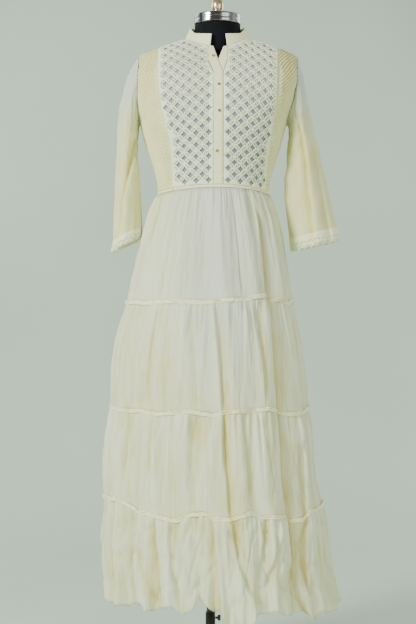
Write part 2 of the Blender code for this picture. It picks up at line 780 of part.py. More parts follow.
def fold_height(angle, z):
    """How far the long folds stand out at an angle and height."""
    grow = max(0.0, (1.190 - z) / 1.0) ** 0.85
    total = 0.0
    for at, drift, width, height in FOLDS:
        away = (angle - at - drift * grow + 180.0) % 360.0 - 180.0
        total += height * math.exp(-0.5 * (away / width) ** 2)
    return total * grow


def column_angle(j, tier):
    """Column angles spaced unevenly, so that the gathers differ in width."""
    t = 2.0 * math.pi * j / COLUMNS
    phase = 1.3 * tier
    return math.degrees(t + 0.045 * math.sin(3.0 * t + phase) + 0.035 * math.sin(5.0 * t + 2.0 * phase))


def seam_height(line, angle):
    z, drop, tilt = SEAM_LINES[line]
    s = math.sin(math.radians(angle))
    return z - drop * s * s - tilt * s


def hem_height(angle):
    at = (angle + 180.0) % 360.0 - 180.0
    for (a, low), (b, high) in zip(HEM, HEM[1:]):
        if at <= b:
            return blend(low, high, (at - a) / (b - a))
    return HEM[-1][1]


def skirt_point(angle, z, gather, out):
    base = surface_point(skirt_at, angle, z, 0.0)
    away = surface_point(skirt_at, angle, z, 0.001) - base
    return base + away * (1000.0 * (fold_height(angle, z) + gather + out))


def build_tier(name, tier, skin, collection):
    inner = []
    outer = []
    shares = list(GATHERS)
    if tier == 3:
        shares = GATHERS[:3] + ((0.80, 0.0, 0.0072),) + GATHERS[3:]
    for share, upper, hem in shares:
        in_row = []
        out_row = []
        for j in range(COLUMNS):
            angle = column_angle(j, tier)
            top = seam_height(tier, angle) - SEAM
            if tier == 0:
                top -= 0.5 * WAIST_BAND
            bottom = hem_height(angle) if tier == 3 else seam_height(tier + 1, angle)
            swing = 0.7 + 0.3 * math.sin(math.radians(3.0 * angle + 70.0 * tier))
            size = (hem if tier == 3 else upper) * swing
            gather = size * math.cos(2.0 * math.pi * WAVES * j / COLUMNS)
            z = blend(top, bottom, share)
            in_row.append(skirt_point(angle, z, gather, -CLOTH))
            out_row.append(skirt_point(angle, z, gather, 0.0))
        inner.append(in_row)
        outer.append(out_row)
    return loft(name, inner, outer, skin, collection, ring=True)


def build_waist_band(skin, collection):
    count = 40
    inner = []
    outer = []
    for share in (0.5, -0.5):
        in_row = []
        out_row = []
        for j in range(count):
            angle = 360.0 * j / count
            z = waist_height(angle) + WAIST_BAND * share
            in_row.append(bodice_point(angle, z, -CLOTH))
            out_row.append(bodice_point(angle, z, 0.0009))
        inner.append(in_row)
        outer.append(out_row)
    return loft("waist_band", inner, outer, skin, collection, ring=True)


def grid_normals(grid):
    """Normals of a ring grid, from its neighbours."""
    rows = len(grid)
    columns = len(grid[0])
    out = []
    for i in range(rows):
        line = []
        for j in range(columns):
            around = grid[i][(j + 1) % columns] - grid[i][j - 1]
            along = grid[min(i + 1, rows - 1)][j] - grid[max(i - 1, 0)][j]
            line.append(around.cross(along).normalized())
        out.append(line)
    return out


def build_sleeve(side, table, skin, cuff_skin, collection):
    """A sleeve from the armhole's loop to its cuff, and the cuff below it."""
    name = "left" if side < 0 else "right"
    middle = 0.5 * (ARM_LOW + ARM_HIGH)
    reach = 0.5 * (ARM_HIGH - ARM_LOW)
    grid = []
    row = []
    for j in range(SLEEVE_SIDES):
        turn = 2.0 * math.pi * j / SLEEVE_SIDES
        z = middle + reach * math.cos(turn)
        face = 1.0 if math.sin(turn) > 0.0 else -1.0
        if abs(math.sin(turn)) < 1e-6:
            angle = side * 90.0
        else:
            angle = arm_angle(side, face, z)
        row.append(bodice_point(angle, z))
    grid.append(row)
    for i, (ox, oz, ix, iz, depth, shift) in enumerate(table):
        row = []
        for j in range(SLEEVE_SIDES):
            turn = 2.0 * math.pi * j / SLEEVE_SIDES
            c = math.cos(turn)
            s = math.sin(turn)
            fold = SLEEVE_FOLD * (i / len(table)) * math.cos(5.0 * turn + 0.8 * side + 0.25 * i)
            x = CENTRE_X + 0.5 * (ox + ix) + (0.5 * (ox - ix) + side * fold) * c
            z = 0.5 * (oz + iz) + 0.5 * (oz - iz) * c
            y = shift + (depth + fold) * s
            row.append(Vector((x, y, z)))
        grid.append(row)
    normals = grid_normals(grid)
    centre = sum((p for p in grid[3]), Vector()) / SLEEVE_SIDES
    turn_in = 1.0 if (grid[3][0] - centre).dot(normals[3][0]) < 0.0 else -1.0
    for j in range(SLEEVE_SIDES):
        grid[0][j] = grid[0][j] + Vector((side * (0.0006 + CLOTH * abs(normals[0][j].x)), 0.0, 0.0))
    inside_grid = [[p + n * turn_in * CLOTH for p, n in zip(a, b)] for a, b in zip(grid, normals)]
    body = len(grid) - 1
    loft("sleeve_" + name, inside_grid[:body], grid[:body], skin, collection, ring=True)
    drop = Vector((0.0, 0.0, -0.0005))
    cuff_outer = [[p + drop for p in grid[body - 1]], grid[body]]
    cuff_inner = [[p + drop for p in inside_grid[body - 1]], inside_grid[body]]
    loft("cuff_" + name, cuff_inner, cuff_outer, cuff_skin, collection, ring=True)


def build_button(name, x, z, skin, collection):
    """A low domed button, its back on the closed strip."""
    angle = angle_of(x, z)
    base = bodice_point(angle, z, OVER_OUT + 0.0004)
    out = (bodice_point(angle, z, 0.01) - bodice_point(angle, z, 0.0)).normalized()
    bm = bmesh.new()
    bmesh.ops.create_uvsphere(bm, u_segments=10, v_segments=6, radius=1.0)
    bmesh.ops.bisect_plane(
        bm, geom=bm.verts[:] + bm.edges[:] + bm.faces[:], plane_co=(0.0, 0.0, 0.0),
        plane_no=(0.0, 0.0, -1.0), clear_outer=True,
    )
    bmesh.ops.holes_fill(bm, edges=[e for e in bm.edges if e.is_boundary], sides=0)
    turn = Vector((0.0, 0.0, 1.0)).rotation_difference(out)
    for vert in bm.verts:
        local = Vector((vert.co.x * BUTTON_RADIUS, vert.co.y * BUTTON_RADIUS, vert.co.z * BUTTON_HEIGHT))
        vert.co = base + turn @ local
    return add_object(name, bm, skin, collection)


def build_form(skin, collection):
    """The torso, from its flat underside to the neck's flat top."""
    bm = bmesh.new()
    rings = []
    for z, *_ in FORM:
        half, front, back, mid = [float(np.interp(z, FORM_Z, c)) for c in FORM_COLUMNS]
        ring = []
        for j in range(FORM_SIDES):
            t = 2.0 * math.pi * j / FORM_SIDES
            s = math.sin(t)
            c = math.cos(t)
            deep = front if c > 0.0 else back
            reach = Vector((half * s, -deep * c))
            if z > FORM_NECK_LOW:
                turn = reach.normalized()
                throat = FORM_NECK[1] if c > 0.0 else FORM_NECK[2]
                neck = 1.0 / math.hypot(turn.x / FORM_NECK[0], turn.y / throat)
                reach = turn * (reach.length ** 14 + neck ** 14) ** (1.0 / 14.0)
            ring.append(bm.verts.new((mid + reach.x, reach.y, z)))
        rings.append(ring)
    for a, b in zip(rings, rings[1:]):
        for j in range(FORM_SIDES):
            k = (j + 1) % FORM_SIDES
            bm.faces.new((a[j], a[k], b[k], b[j]))
    bm.faces.new(rings[0])
    bm.faces.new(rings[-1])
    return add_object("dress_form", bm, skin, collection)


def build_screw(skin, collection):
    """The clamp's thumb screw on the stand tube: a stem and a round head."""
    profile = ((0.0, 0.0250), (0.0058, 0.0250), (0.0072, 0.0238), (0.0072, 0.0190), (0.0062, 0.0180),
               (0.0030, 0.0180), (0.0030, 0.0122), (0.0, 0.0122))
    made = turned("clamp_screw", profile, skin, collection, 14)
    made.rotation_euler = (0.0, math.radians(90.0), 0.0)
    made.location = (0.0, 0.0, SCREW_Z)


def main():
    for old in list(bpy.data.objects):
        bpy.data.objects.remove(old, do_unlink=True)
    collection = bpy.data.collections.new("anarkali_gown")
    bpy.context.scene.collection.children.link(collection)

    cream = material("cream_cotton", CREAM, 0.9)
    sheer = material("sheer_cotton", SHEER, 0.85)
    lace = material("white_lace", WHITE, 0.85)
    veil = material("lining_voile", VEIL, 0.9)
    band = material("embroidered_band", WHITE, 0.85)
    horn = material("button_brown", (0.16, 0.11, 0.05), 0.35)
    black = material("form_black", BLACK, 0.55)
    chrome = material("polished_chrome", (0.75, 0.75, 0.76), 0.12, 1.0)
    brass = material("polished_brass", (0.68, 0.52, 0.30), 0.22, 1.0)
    paint = material("black_enamel", (0.012, 0.012, 0.014), 0.35)

    build_lining("lining_left", -1.0, veil, collection)
    build_lining("lining_right", 1.0, veil, collection)
    build_lace("lace_panel_left", -1.0, lace, collection)
    build_lace("lace_panel_right", 1.0, lace, collection)
    build_side_front("side_front_left", -1.0, cream, collection)
    build_side_front("side_front_right", 1.0, cream, collection)
    build_back(cream, collection)
    build_strip("placket_under", UNDER_LEFT, UNDER_RIGHT, 0.0, UNDER_OUT, cream, collection, 0.0002)
    build_strip("placket_over", OVER_LEFT, OVER_RIGHT, OVER_IN, OVER_OUT, cream, collection, 0.0002)
    for number, (x, z) in enumerate(BUTTONS, 1):
        build_button("button_%d" % number, x, z, horn, collection)
    build_collar(cream, collection)
    build_waist_band(cream, collection)
    for tier in range(4):
        build_tier("skirt_tier_%d" % (tier + 1), tier, sheer, collection)
    build_sleeve(-1.0, SLEEVE_LEFT, sheer, band, collection)
    build_sleeve(1.0, SLEEVE_RIGHT, sheer, band, collection)

    build_form(black, collection)
    neck = (CENTRE_X, NECK_Y)
    cap = ((0.0, CAP_HIGH), (CAP_RADIUS - 0.002, CAP_HIGH), (CAP_RADIUS, CAP_HIGH - 0.002),
           (CAP_RADIUS, CAP_LOW + 0.002), (CAP_RADIUS - 0.002, CAP_LOW), (0.0, CAP_LOW))
    turned("neck_cap", cap, chrome, collection, 28, neck)
    finial = tuple(reversed(FINIAL)) + ((0.0, FINIAL[0][1]),)
    turned("finial", finial, brass, collection, 18, neck)
    pole = ((0.0, 0.8696), (FLANGE_RADIUS, 0.8696), (FLANGE_RADIUS, 0.8696 - FLANGE),
            (POLE_RADIUS, 0.8696 - 2.2 * FLANGE), (POLE_RADIUS, 0.0204), (0.0, 0.0204))
    turned("stand_pole", pole, paint, collection, 16)
    tube = ((TUBE_BORE, TUBE_TOP), (TUBE_RADIUS, TUBE_TOP), (TUBE_RADIUS, BASE_TOP + 0.0004),
            (TUBE_BORE, BASE_TOP + 0.0004), (TUBE_BORE, TUBE_TOP))
    turned("stand_tube", tube, paint, collection, 16)
    base = ((TUBE_BORE, BASE_TOP), (0.026, BASE_TOP), (0.029, 0.0390), (0.034, 0.0240), (0.060, 0.0185),
            (0.150, 0.0130), (0.182, 0.0100), (BASE_RADIUS, 0.0060), (BASE_RADIUS, 0.0), (0.0, 0.0),
            (0.0, 0.0200), (TUBE_BORE, 0.0200), (TUBE_BORE, BASE_TOP))
    turned("stand_base", base, paint, collection, 28)
    build_screw(paint, collection)


main()
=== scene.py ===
"""Anarkali gown on a limbless dress form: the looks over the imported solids, made piece by piece."""

import math

import bmesh
import bpy
import numpy as np
from mathutils import Matrix, Vector


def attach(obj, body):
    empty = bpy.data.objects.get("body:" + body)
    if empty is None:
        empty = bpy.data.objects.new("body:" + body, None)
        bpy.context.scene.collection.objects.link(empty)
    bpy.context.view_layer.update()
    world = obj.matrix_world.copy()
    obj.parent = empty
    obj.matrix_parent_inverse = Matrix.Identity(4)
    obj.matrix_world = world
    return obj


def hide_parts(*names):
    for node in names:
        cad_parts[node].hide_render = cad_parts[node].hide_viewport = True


bl_info = {
    "name": "Anarkali Gown",
    "version": (1, 0, 0),
    "blender": (4, 5, 0),
    "location": "3D View > Sidebar > Gown",
    "description": "Builds a tiered anarkali gown on a dress form over its packed solids",
    "category": "Object",
}

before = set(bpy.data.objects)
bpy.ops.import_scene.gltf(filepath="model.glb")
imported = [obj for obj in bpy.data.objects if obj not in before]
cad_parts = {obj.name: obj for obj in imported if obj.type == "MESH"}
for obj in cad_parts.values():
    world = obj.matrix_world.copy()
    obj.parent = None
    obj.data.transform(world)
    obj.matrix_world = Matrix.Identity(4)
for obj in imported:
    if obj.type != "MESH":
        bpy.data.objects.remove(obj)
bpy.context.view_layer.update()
BODY = "root"

# Metres, +Z up, front towards -Y. Angles run from 0 at the front, through 90 at +X, to 180 at the back.
CENTRE_X = 0.0175
SEAM = 0.0004
WAIST_BAND = 0.0070
FRONT_SEAM = 89.3
BACK_SEAM = 89.5
ARM_LOW = 1.3590
ARM_HIGH = 1.5230
ARM_DEPTH = 0.0580
NECK_SIDE = 0.0785
NECK_FRONT = 0.0680
NECK_BACK = 0.0640
NECK_Y = -0.0020
GAP_PITCH_X = 0.02955
GAP_PITCH_V = 0.0142

BODICE = (
    # z, left, right, front, back, power
    (1.1700, 0.1470, 0.1280, 0.1060, 0.0920, 2.05),
    (1.2040, 0.1440, 0.1240, 0.1030, 0.0880, 2.05),
    (1.2500, 0.1540, 0.1350, 0.1080, 0.0900, 2.10),
    (1.3000, 0.1720, 0.1510, 0.1220, 0.0980, 2.20),
    (1.3400, 0.1830, 0.1620, 0.1320, 0.1040, 2.30),
    (1.3700, 0.1900, 0.1710, 0.1350, 0.1080, 2.40),
    (1.4200, 0.2030, 0.1930, 0.1280, 0.1130, 2.55),
    (1.4700, 0.2070, 0.2060, 0.1120, 0.1130, 2.50),
    (1.5050, 0.2010, 0.2030, 0.0920, 0.1070, 2.30),
    (1.5230, 0.1920, 0.1950, 0.0790, 0.0990, 2.10),
    (1.5370, 0.1660, 0.1700, 0.0680, 0.0920, 2.00),
    (1.5470, 0.1410, 0.1450, 0.0600, 0.0850, 2.00),
    (1.5570, 0.1090, 0.1110, 0.0500, 0.0760, 2.00),
    (1.5660, 0.0785, 0.0785, 0.0360, 0.0640, 2.00),
)
SKIRT = (
    # z, left, right, front, back, power
    (1.2040, 0.1420, 0.1220, 0.1030, 0.0880, 2.05),
    (1.1380, 0.1640, 0.1450, 0.1200, 0.1080, 2.05),
    (1.0525, 0.1880, 0.1640, 0.1400, 0.1320, 2.05),
    (0.9790, 0.2070, 0.1750, 0.1530, 0.1480, 2.05),
    (0.9250, 0.2180, 0.1830, 0.1630, 0.1580, 2.05),
    (0.8320, 0.2420, 0.1990, 0.1820, 0.1750, 2.05),
    (0.7585, 0.2520, 0.2090, 0.1920, 0.1860, 2.05),
    (0.6700, 0.2540, 0.2190, 0.2000, 0.1940, 2.05),
    (0.5870, 0.2670, 0.2310, 0.2120, 0.2050, 2.05),
    (0.5010, 0.2700, 0.2370, 0.2200, 0.2120, 2.05),
    (0.4375, 0.2670, 0.2500, 0.2250, 0.2160, 2.05),
    (0.3420, 0.2720, 0.2620, 0.2330, 0.2240, 2.05),
    (0.2685, 0.2710, 0.2710, 0.2390, 0.2300, 2.05),
    (0.1800, 0.2650, 0.2900, 0.2460, 0.2360, 2.05),
)
SEAM_LINES = (
    # z, side_drop, tilt
    (1.2010, 0.0120, 0.0000),
    (0.9250, 0.0000, 0.0000),
    (0.6700, 0.0000, 0.0030),
    (0.4375, 0.0000, 0.0095),
)
FOLDS = (
    # angle, drift, half_width, height
    (-84.0, -3.0, 8.0, 0.011),
    (-62.0, 2.0, 7.0, 0.017),
    (-47.0, -2.0, 5.0, -0.010),
    (-33.0, 1.0, 7.0, 0.016),
    (-9.0, 17.0, 5.0, -0.016),
    (6.0, 5.0, 7.0, 0.024),
    (22.0, -2.0, 4.0, -0.010),
    (31.0, -2.0, 6.0, 0.020),
    (40.0, -3.0, 4.5, -0.015),
    (54.0, -3.0, 7.0, 0.017),
    (80.0, 0.0, 6.0, -0.009),
    (99.0, 3.0, 8.0, 0.015),
    (124.0, -3.0, 9.0, 0.018),
    (143.0, 2.0, 6.0, -0.011),
    (160.0, 2.0, 8.0, 0.019),
    (181.0, -2.0, 6.0, -0.012),
    (200.0, 3.0, 9.0, 0.018),
    (224.0, -2.0, 8.0, 0.012),
    (243.0, 2.0, 6.0, -0.012),
    (258.0, 0.0, 7.0, 0.014),
)
WAVES = 18
GATHERS = (
    # share of the tier's height, gather height on the upper tiers, on the hem tier
    (0.00, 0.0008, 0.0008),
    (0.14, 0.0050, 0.0050),
    (0.52, 0.0034, 0.0052),
    (0.80, 0.0023, 0.0072),
    (1.00, 0.0016, 0.0090),
)

# How far each seam wanders up or down round the gown, and the hem's own height.
SEAM_WANDER = (
    ((-180.0, 0.0), (180.0, 0.0)),
    ((-180.0, 0.002), (-140.0, -0.003), (-89.0, -0.003), (-5.0, 0.001), (20.0, 0.006), (38.0, 0.016),
     (43.0, 0.004), (50.0, 0.007), (63.0, -0.006), (79.0, 0.004), (110.0, -0.002), (150.0, 0.003), (180.0, 0.002)),
    ((-180.0, -0.002), (-130.0, 0.003), (-89.0, -0.003), (-53.0, -0.004), (-46.0, 0.001), (-31.0, -0.006),
     (-15.0, 0.003), (-2.0, -0.005), (5.0, 0.003), (30.0, 0.009), (36.0, 0.007), (43.0, -0.002), (54.0, -0.008),
     (80.0, -0.003), (120.0, 0.003), (160.0, -0.004), (180.0, -0.002)),
    ((-180.0, 0.003), (-140.0, -0.004), (-89.0, 0.003), (-57.0, 0.017), (-44.0, -0.007), (-38.0, -0.003),
     (-20.0, -0.015), (-14.0, 0.001), (-6.0, 0.006), (-2.0, -0.008), (6.0, -0.006), (16.0, 0.010),
     (23.0, 0.000),
     (38.0, -0.003), (41.0, -0.014), (49.0, -0.013), (53.0, 0.003), (89.0, -0.002), (130.0, 0.005),
     (180.0, 0.003)),
)
HEM = (
    # angle, z
    (-180.0, 0.1900), (-165.0, 0.1840), (-150.0, 0.1960), (-135.0, 0.1860), (-118.0, 0.1970), (-104.0, 0.1900),
    (-89.0, 0.1984), (-70.0, 0.2040), (-50.0, 0.2194), (-38.0, 0.2342), (-35.5, 0.2144), (-30.0, 0.2259),
    (-20.3, 0.2327), (-16.2, 0.2155), (-12.0, 0.2260), (-9.1, 0.2559), (-6.5, 0.2400), (-4.1, 0.2303),
    (1.0, 0.2270), (3.0, 0.1960), (9.2, 0.1880), (15.0, 0.1960), (17.8, 0.2200), (27.0, 0.2168),
    (34.0, 0.2069), (44.0, 0.2116), (48.0, 0.1830), (51.5, 0.2000), (65.0, 0.1906), (89.0, 0.1745),
    (104.0, 0.1860), (120.0, 0.1780), (135.0, 0.1890), (150.0, 0.1800), (166.0, 0.1910), (180.0, 0.1900),
)

# Sharp creases: each steps down from its raised side, 1 or -1, or sinks between two lips at 0.
CREASES = (
    # half_width, depth, lip, raised side, (angle, z) points from top to bottom
    (1.3, 0.0085, 0.0045, -1, ((38.7, 1.1400), (38.2, 0.9432), (38.7, 0.9042), (37.2, 0.7464), (38.4, 0.6698),
                               (36.8, 0.5539), (38.7, 0.4544), (39.6, 0.3626), (38.4, 0.2887), (35.5, 0.2017))),
    (1.6, 0.0080, 0.0040, -1, ((-2.6, 0.9361), (0.7, 0.7866), (2.3, 0.6811), (2.3, 0.5975), (4.4, 0.5228),
                               (5.0, 0.4489), (6.9, 0.4130), (9.7, 0.3210), (16.4, 0.2400))),
    (1.2, 0.0085, 0.0045, 1, ((-2.6, 0.4400), (0.4, 0.3000), (2.2, 0.1800))),
    (1.1, 0.0040, 0.0020, 1, ((-14.7, 0.9205), (-11.7, 0.8241), (-9.3, 0.6791))),
    (1.3, 0.0065, 0.0030, 1, ((-53.5, 0.6841), (-52.1, 0.5675), (-53.7, 0.5145))),
    (1.1, 0.0045, 0.0022, 1, ((-34.6, 0.6805), (-33.5, 0.5944), (-33.0, 0.5200))),
    (2.7, 0.0042, 0.0016, 0, ((-11.7, 0.6754), (-10.1, 0.5974), (-12.4, 0.4900))),
    (1.0, 0.0042, 0.0020, -1, ((13.5, 0.6662), (15.2, 0.5664), (16.0, 0.4800))),
    (1.3, 0.0080, 0.0032, 1, ((55.4, 0.6000), (54.4, 0.5014), (51.9, 0.4329), (49.1, 0.3578), (48.2, 0.2600))),
    (1.1, 0.0048, 0.0024, -1, ((57.3, 0.6719), (54.5, 0.5676))),
    (1.1, 0.0050, 0.0024, 1, ((-12.1, 0.4272), (-16.5, 0.3596))),
    (1.1, 0.0050, 0.0026, -1, ((-49.5, 0.3821), (-37.9, 0.3010), (-31.0, 0.2400))),
    (1.3, 0.0085, 0.0045, 1, ((39.2, 0.3171), (46.2, 0.1850))),
    (1.2, 0.0056, 0.0024, 1, ((-43.0, 0.4500), (-45.5, 0.3300), (-44.0, 0.2500))),
    (1.3, 0.0060, 0.0028, -1, ((-24.0, 0.4300), (-22.0, 0.3200), (-17.5, 0.2100))),
    (1.1, 0.0046, 0.0022, -1, ((24.0, 0.4400), (21.5, 0.3500), (18.5, 0.2900))),
    (1.0, 0.0042, 0.0022, -1, ((21.0, 0.2800), (27.0, 0.3300), (31.0, 0.3700), (36.0, 0.4100))),
    (1.0, 0.0036, 0.0018, 1, ((-60.0, 0.9200), (-58.0, 0.7600), (-57.0, 0.6900))),
    (1.0, 0.0036, 0.0018, -1, ((-38.0, 0.9200), (-40.0, 0.7600), (-41.5, 0.6900))),
    (1.1, 0.0040, 0.0020, -1, ((27.0, 0.9200), (29.0, 0.7600), (28.5, 0.6900))),
    (1.0, 0.0026, 0.0012, -1, ((14.0, 1.1900), (15.5, 1.0800), (17.0, 0.9400))),
    (1.0, 0.0026, 0.0012, 1, ((-8.0, 1.1900), (-9.0, 1.0600), (-8.0, 0.9600))),
    (1.0, 0.0030, 0.0014, 1, ((-33.0, 1.1900), (-36.0, 1.0500), (-37.0, 0.9400))),
    (1.0, 0.0030, 0.0014, -1, ((-58.0, 1.1800), (-60.0, 1.0500), (-61.0, 0.9400))),
    (1.0, 0.0034, 0.0016, 1, ((60.0, 1.1800), (61.0, 1.0500), (64.0, 0.9400))),
    (1.4, 0.0065, 0.0030, -1, ((74.0, 0.6700), (76.0, 0.4500), (74.0, 0.2200))),
    (1.4, 0.0056, 0.0026, 1, ((-74.0, 0.4500), (-71.0, 0.2300))),
    (1.2, 0.0052, 0.0024, -1, ((-62.0, 0.4400), (-63.0, 0.3300), (-61.0, 0.2300))),
    (1.1, 0.0050, 0.0024, 1, ((-31.0, 0.4300), (-29.0, 0.3300), (-27.0, 0.2300))),
    (1.2, 0.0050, 0.0024, 1, ((63.0, 0.4300), (65.0, 0.3300), (69.0, 0.2200))),
    (1.4, 0.0065, 0.0030, 1, ((128.0, 1.1500), (130.0, 0.6900), (127.0, 0.2200))),
    (1.3, 0.0052, 0.0024, -1, ((152.0, 0.9200), (150.0, 0.5000))),
    (1.5, 0.0070, 0.0032, 1, ((178.0, 1.1600), (181.0, 0.7000), (179.0, 0.2100))),
    (1.3, 0.0054, 0.0026, -1, ((-152.0, 0.9200), (-150.0, 0.4500))),
    (1.4, 0.0065, 0.0030, -1, ((-120.0, 1.1000), (-118.0, 0.6500), (-121.0, 0.2100))),
    (1.3, 0.0058, 0.0026, 1, ((-98.0, 0.6700), (-97.0, 0.2200))),
    (1.3, 0.0056, 0.0026, 1, ((104.0, 0.6700), (106.0, 0.2200))),
    (1.2, 0.0050, 0.0024, -1, ((140.0, 0.4400), (143.0, 0.2100))),
    (1.2, 0.0050, 0.0024, 1, ((165.0, 0.4400), (163.0, 0.2100))),
    (1.2, 0.0050, 0.0024, -1, ((-165.0, 0.4400), (-168.0, 0.2100))),
    (1.2, 0.0050, 0.0024, 1, ((-136.0, 0.4400), (-134.0, 0.2100))),
)

# Painted see-through tint, where the sheer cloth would let the form and room behind show: from and to height, near
# and far from the middle, and tint.
SKIRT_SEE_THROUGH_TINT = (0.60, 0.98, 0.02, 0.15, (0.76, 0.82, 0.68))
SLEEVE_SEE_THROUGH_TINT = (1.30, 1.46, 1.0, 2.0, (0.66, 0.72, 0.67))

# How deep the random creases of each tier are, and how many small gathers each has.
CRUMPLE = (0.0008, 0.0011, 0.0014, 0.0034)
GATHER_COUNTS = (116, 138, 150, 156)

LACE_EDGE = (
    # z, left, right
    (1.1700, 0.1080, 0.1150),
    (1.2300, 0.1082, 0.1175),
    (1.2700, 0.1100, 0.1215),
    (1.3320, 0.1190, 0.1285),
    (1.3910, 0.1340, 0.1355),
    (1.4500, 0.1410, 0.1410),
    (1.5000, 0.1430, 0.1445),
    (1.5460, 0.1440, 0.1470),
)
LACE_CENTRE = {
    -1: ((1.170, -0.0100), (1.468, -0.0100), (1.497, -0.0226), (1.560, -0.0226)),
    1: ((1.170, 0.0135), (1.468, 0.0135), (1.500, 0.0240), (1.560, 0.0250)),
}
LINING_CENTRE = {
    -1: ((1.170, 0.0010), (1.495, 0.0010), (1.560, -0.0190)),
    1: ((1.170, 0.0016), (1.495, 0.0016), (1.560, 0.0220)),
}
OVER_EDGES = (
    ((1.170, -0.0097), (1.468, -0.0097), (1.497, -0.0222), (1.560, -0.0222)),
    ((1.170, 0.0116), (1.468, 0.0116), (1.502, 0.0002), (1.560, -0.0175)),
)
UNDER_EDGES = (
    ((1.170, -0.0060), (1.470, -0.0060), (1.501, 0.0008), (1.560, 0.0226)),
    ((1.170, 0.0130), (1.468, 0.0130), (1.500, 0.0235), (1.560, 0.0245)),
)
COLLAR_TOP = ((0.0, 1.5695), (16.0, 1.5700), (40.0, 1.5730), (57.0, 1.5765), (72.0, 1.5860), (84.0, 1.5950),
              (92.0, 1.5980), (180.0, 1.6040))
PUCKERS = (1.3035, 1.2750, 1.2540, 1.2330, 1.2180)
SLEEVES = {
    -1: (
        # outer_x, outer_z, inner_x, inner_z, depth, back_shift
        (-0.2130, 1.4900, -0.1925, 1.3520, 0.0620, 0.000),
        (-0.2300, 1.4400, -0.1930, 1.3320, 0.0640, 0.002),
        (-0.2420, 1.3800, -0.1950, 1.3050, 0.0640, 0.004),
        (-0.2450, 1.3000, -0.1930, 1.2500, 0.0610, 0.006),
        (-0.2510, 1.2000, -0.1865, 1.1800, 0.0590, 0.008),
        (-0.2555, 1.0710, -0.1840, 1.1050, 0.0600, 0.009),
        (-0.2575, 1.0480, -0.1870, 1.0830, 0.0620, 0.009),
    ),
    1: (
        (0.2060, 1.4870, 0.1740, 1.3520, 0.0620, 0.000),
        (0.2160, 1.4370, 0.1745, 1.3320, 0.0640, 0.002),
        (0.2290, 1.3700, 0.1720, 1.3000, 0.0640, 0.004),
        (0.2470, 1.3000, 0.1680, 1.2500, 0.0630, 0.006),
        (0.2680, 1.2100, 0.1650, 1.1850, 0.0630, 0.008),
        (0.2940, 1.1030, 0.1780, 1.0760, 0.0660, 0.009),
        (0.2980, 1.0760, 0.1830, 1.0500, 0.0690, 0.009),
    ),
}
SLEEVE_FOLD = 0.0026
SLEEVE_CREASES = {
    # half_width, depth, lip, raised side, (share down the sleeve, turn) points
    -1: (
        (7.0, 0.0055, 0.0022, -1, ((0.36, 196.0), (0.50, 218.0), (0.62, 248.0), (0.74, 286.0), (0.86, 304.0),
                                   (1.00, 312.0))),
        (6.0, 0.0026, 0.0012, 1, ((0.05, 318.0), (0.20, 306.0), (0.42, 300.0))),
        (6.0, 0.0024, 0.0012, -1, ((0.10, 262.0), (0.24, 248.0), (0.38, 226.0))),
        (6.0, 0.0024, 0.0010, 1, ((0.60, 212.0), (0.80, 236.0), (1.00, 250.0))),
        (8.0, 0.0050, 0.0020, 1, ((0.10, 60.0), (0.50, 84.0), (1.00, 96.0))),
        (8.0, 0.0040, 0.0016, -1, ((0.30, 150.0), (0.60, 128.0), (1.00, 132.0))),
    ),
    1: (
        (8.0, 0.0060, 0.0026, 1, ((0.34, 262.0), (0.46, 276.0), (0.62, 279.0), (0.80, 270.0), (1.00, 256.0))),
        (6.0, 0.0026, 0.0012, -1, ((0.05, 306.0), (0.22, 296.0), (0.40, 300.0))),
        (6.0, 0.0028, 0.0012, -1, ((0.16, 232.0), (0.30, 246.0), (0.42, 262.0))),
        (6.0, 0.0024, 0.0010, 1, ((0.55, 318.0), (0.80, 312.0), (1.00, 306.0))),
        (8.0, 0.0050, 0.0020, -1, ((0.10, 60.0), (0.50, 80.0), (1.00, 92.0))),
        (8.0, 0.0040, 0.0016, 1, ((0.30, 140.0), (0.60, 124.0), (1.00, 128.0))),
    ),
}
BUTTONS = ((-0.0105, 1.5090), (0.0024, 1.4370), (0.0036, 1.3740), (-0.0016, 1.2830))
FORM = (
    # z, half_width, front, back, mid_x
    (0.8700, 0.1150, 0.0860, 0.0920, 0.0000),
    (0.8780, 0.1290, 0.0980, 0.1050, 0.0000),
    (0.9000, 0.1400, 0.1060, 0.1130, 0.0000),
    (0.9500, 0.1500, 0.1110, 0.1180, 0.0000),
    (1.0200, 0.1500, 0.1090, 0.1150, 0.0000),
    (1.1000, 0.1370, 0.1000, 0.1010, 0.0020),
    (1.1700, 0.1210, 0.0930, 0.0830, 0.0055),
    (1.2040, 0.1170, 0.0920, 0.0785, 0.0070),
    (1.2500, 0.1250, 0.0965, 0.0800, 0.0080),
    (1.3000, 0.1400, 0.1100, 0.0880, 0.0080),
    (1.3400, 0.1500, 0.1200, 0.0940, 0.0080),
    (1.3700, 0.1560, 0.1230, 0.0980, 0.0090),
    (1.4200, 0.1680, 0.1160, 0.1020, 0.0130),
    (1.4700, 0.1740, 0.1000, 0.1010, 0.0165),
    (1.5000, 0.1750, 0.0820, 0.0930, 0.0175),
    (1.5192, 0.1720, 0.0600, 0.0850, 0.0175),
    (1.5332, 0.1580, 0.0400, 0.0780, 0.0175),
    (1.5432, 0.1392, 0.0250, 0.0700, 0.0175),
    (1.5532, 0.1082, 0.0220, 0.0620, 0.0175),
    (1.5622, 0.0779, 0.0180, 0.0500, 0.0175),
    (1.5720, 0.0500, 0.0180, 0.0450, 0.0175),
    (1.5820, 0.0480, 0.0280, 0.0450, 0.0175),
    (1.6020, 0.0480, 0.0280, 0.0450, 0.0175),
)
FORM_NECK = (0.0565, 0.0585, 0.0545)
FORM_NECK_LOW = 1.4900


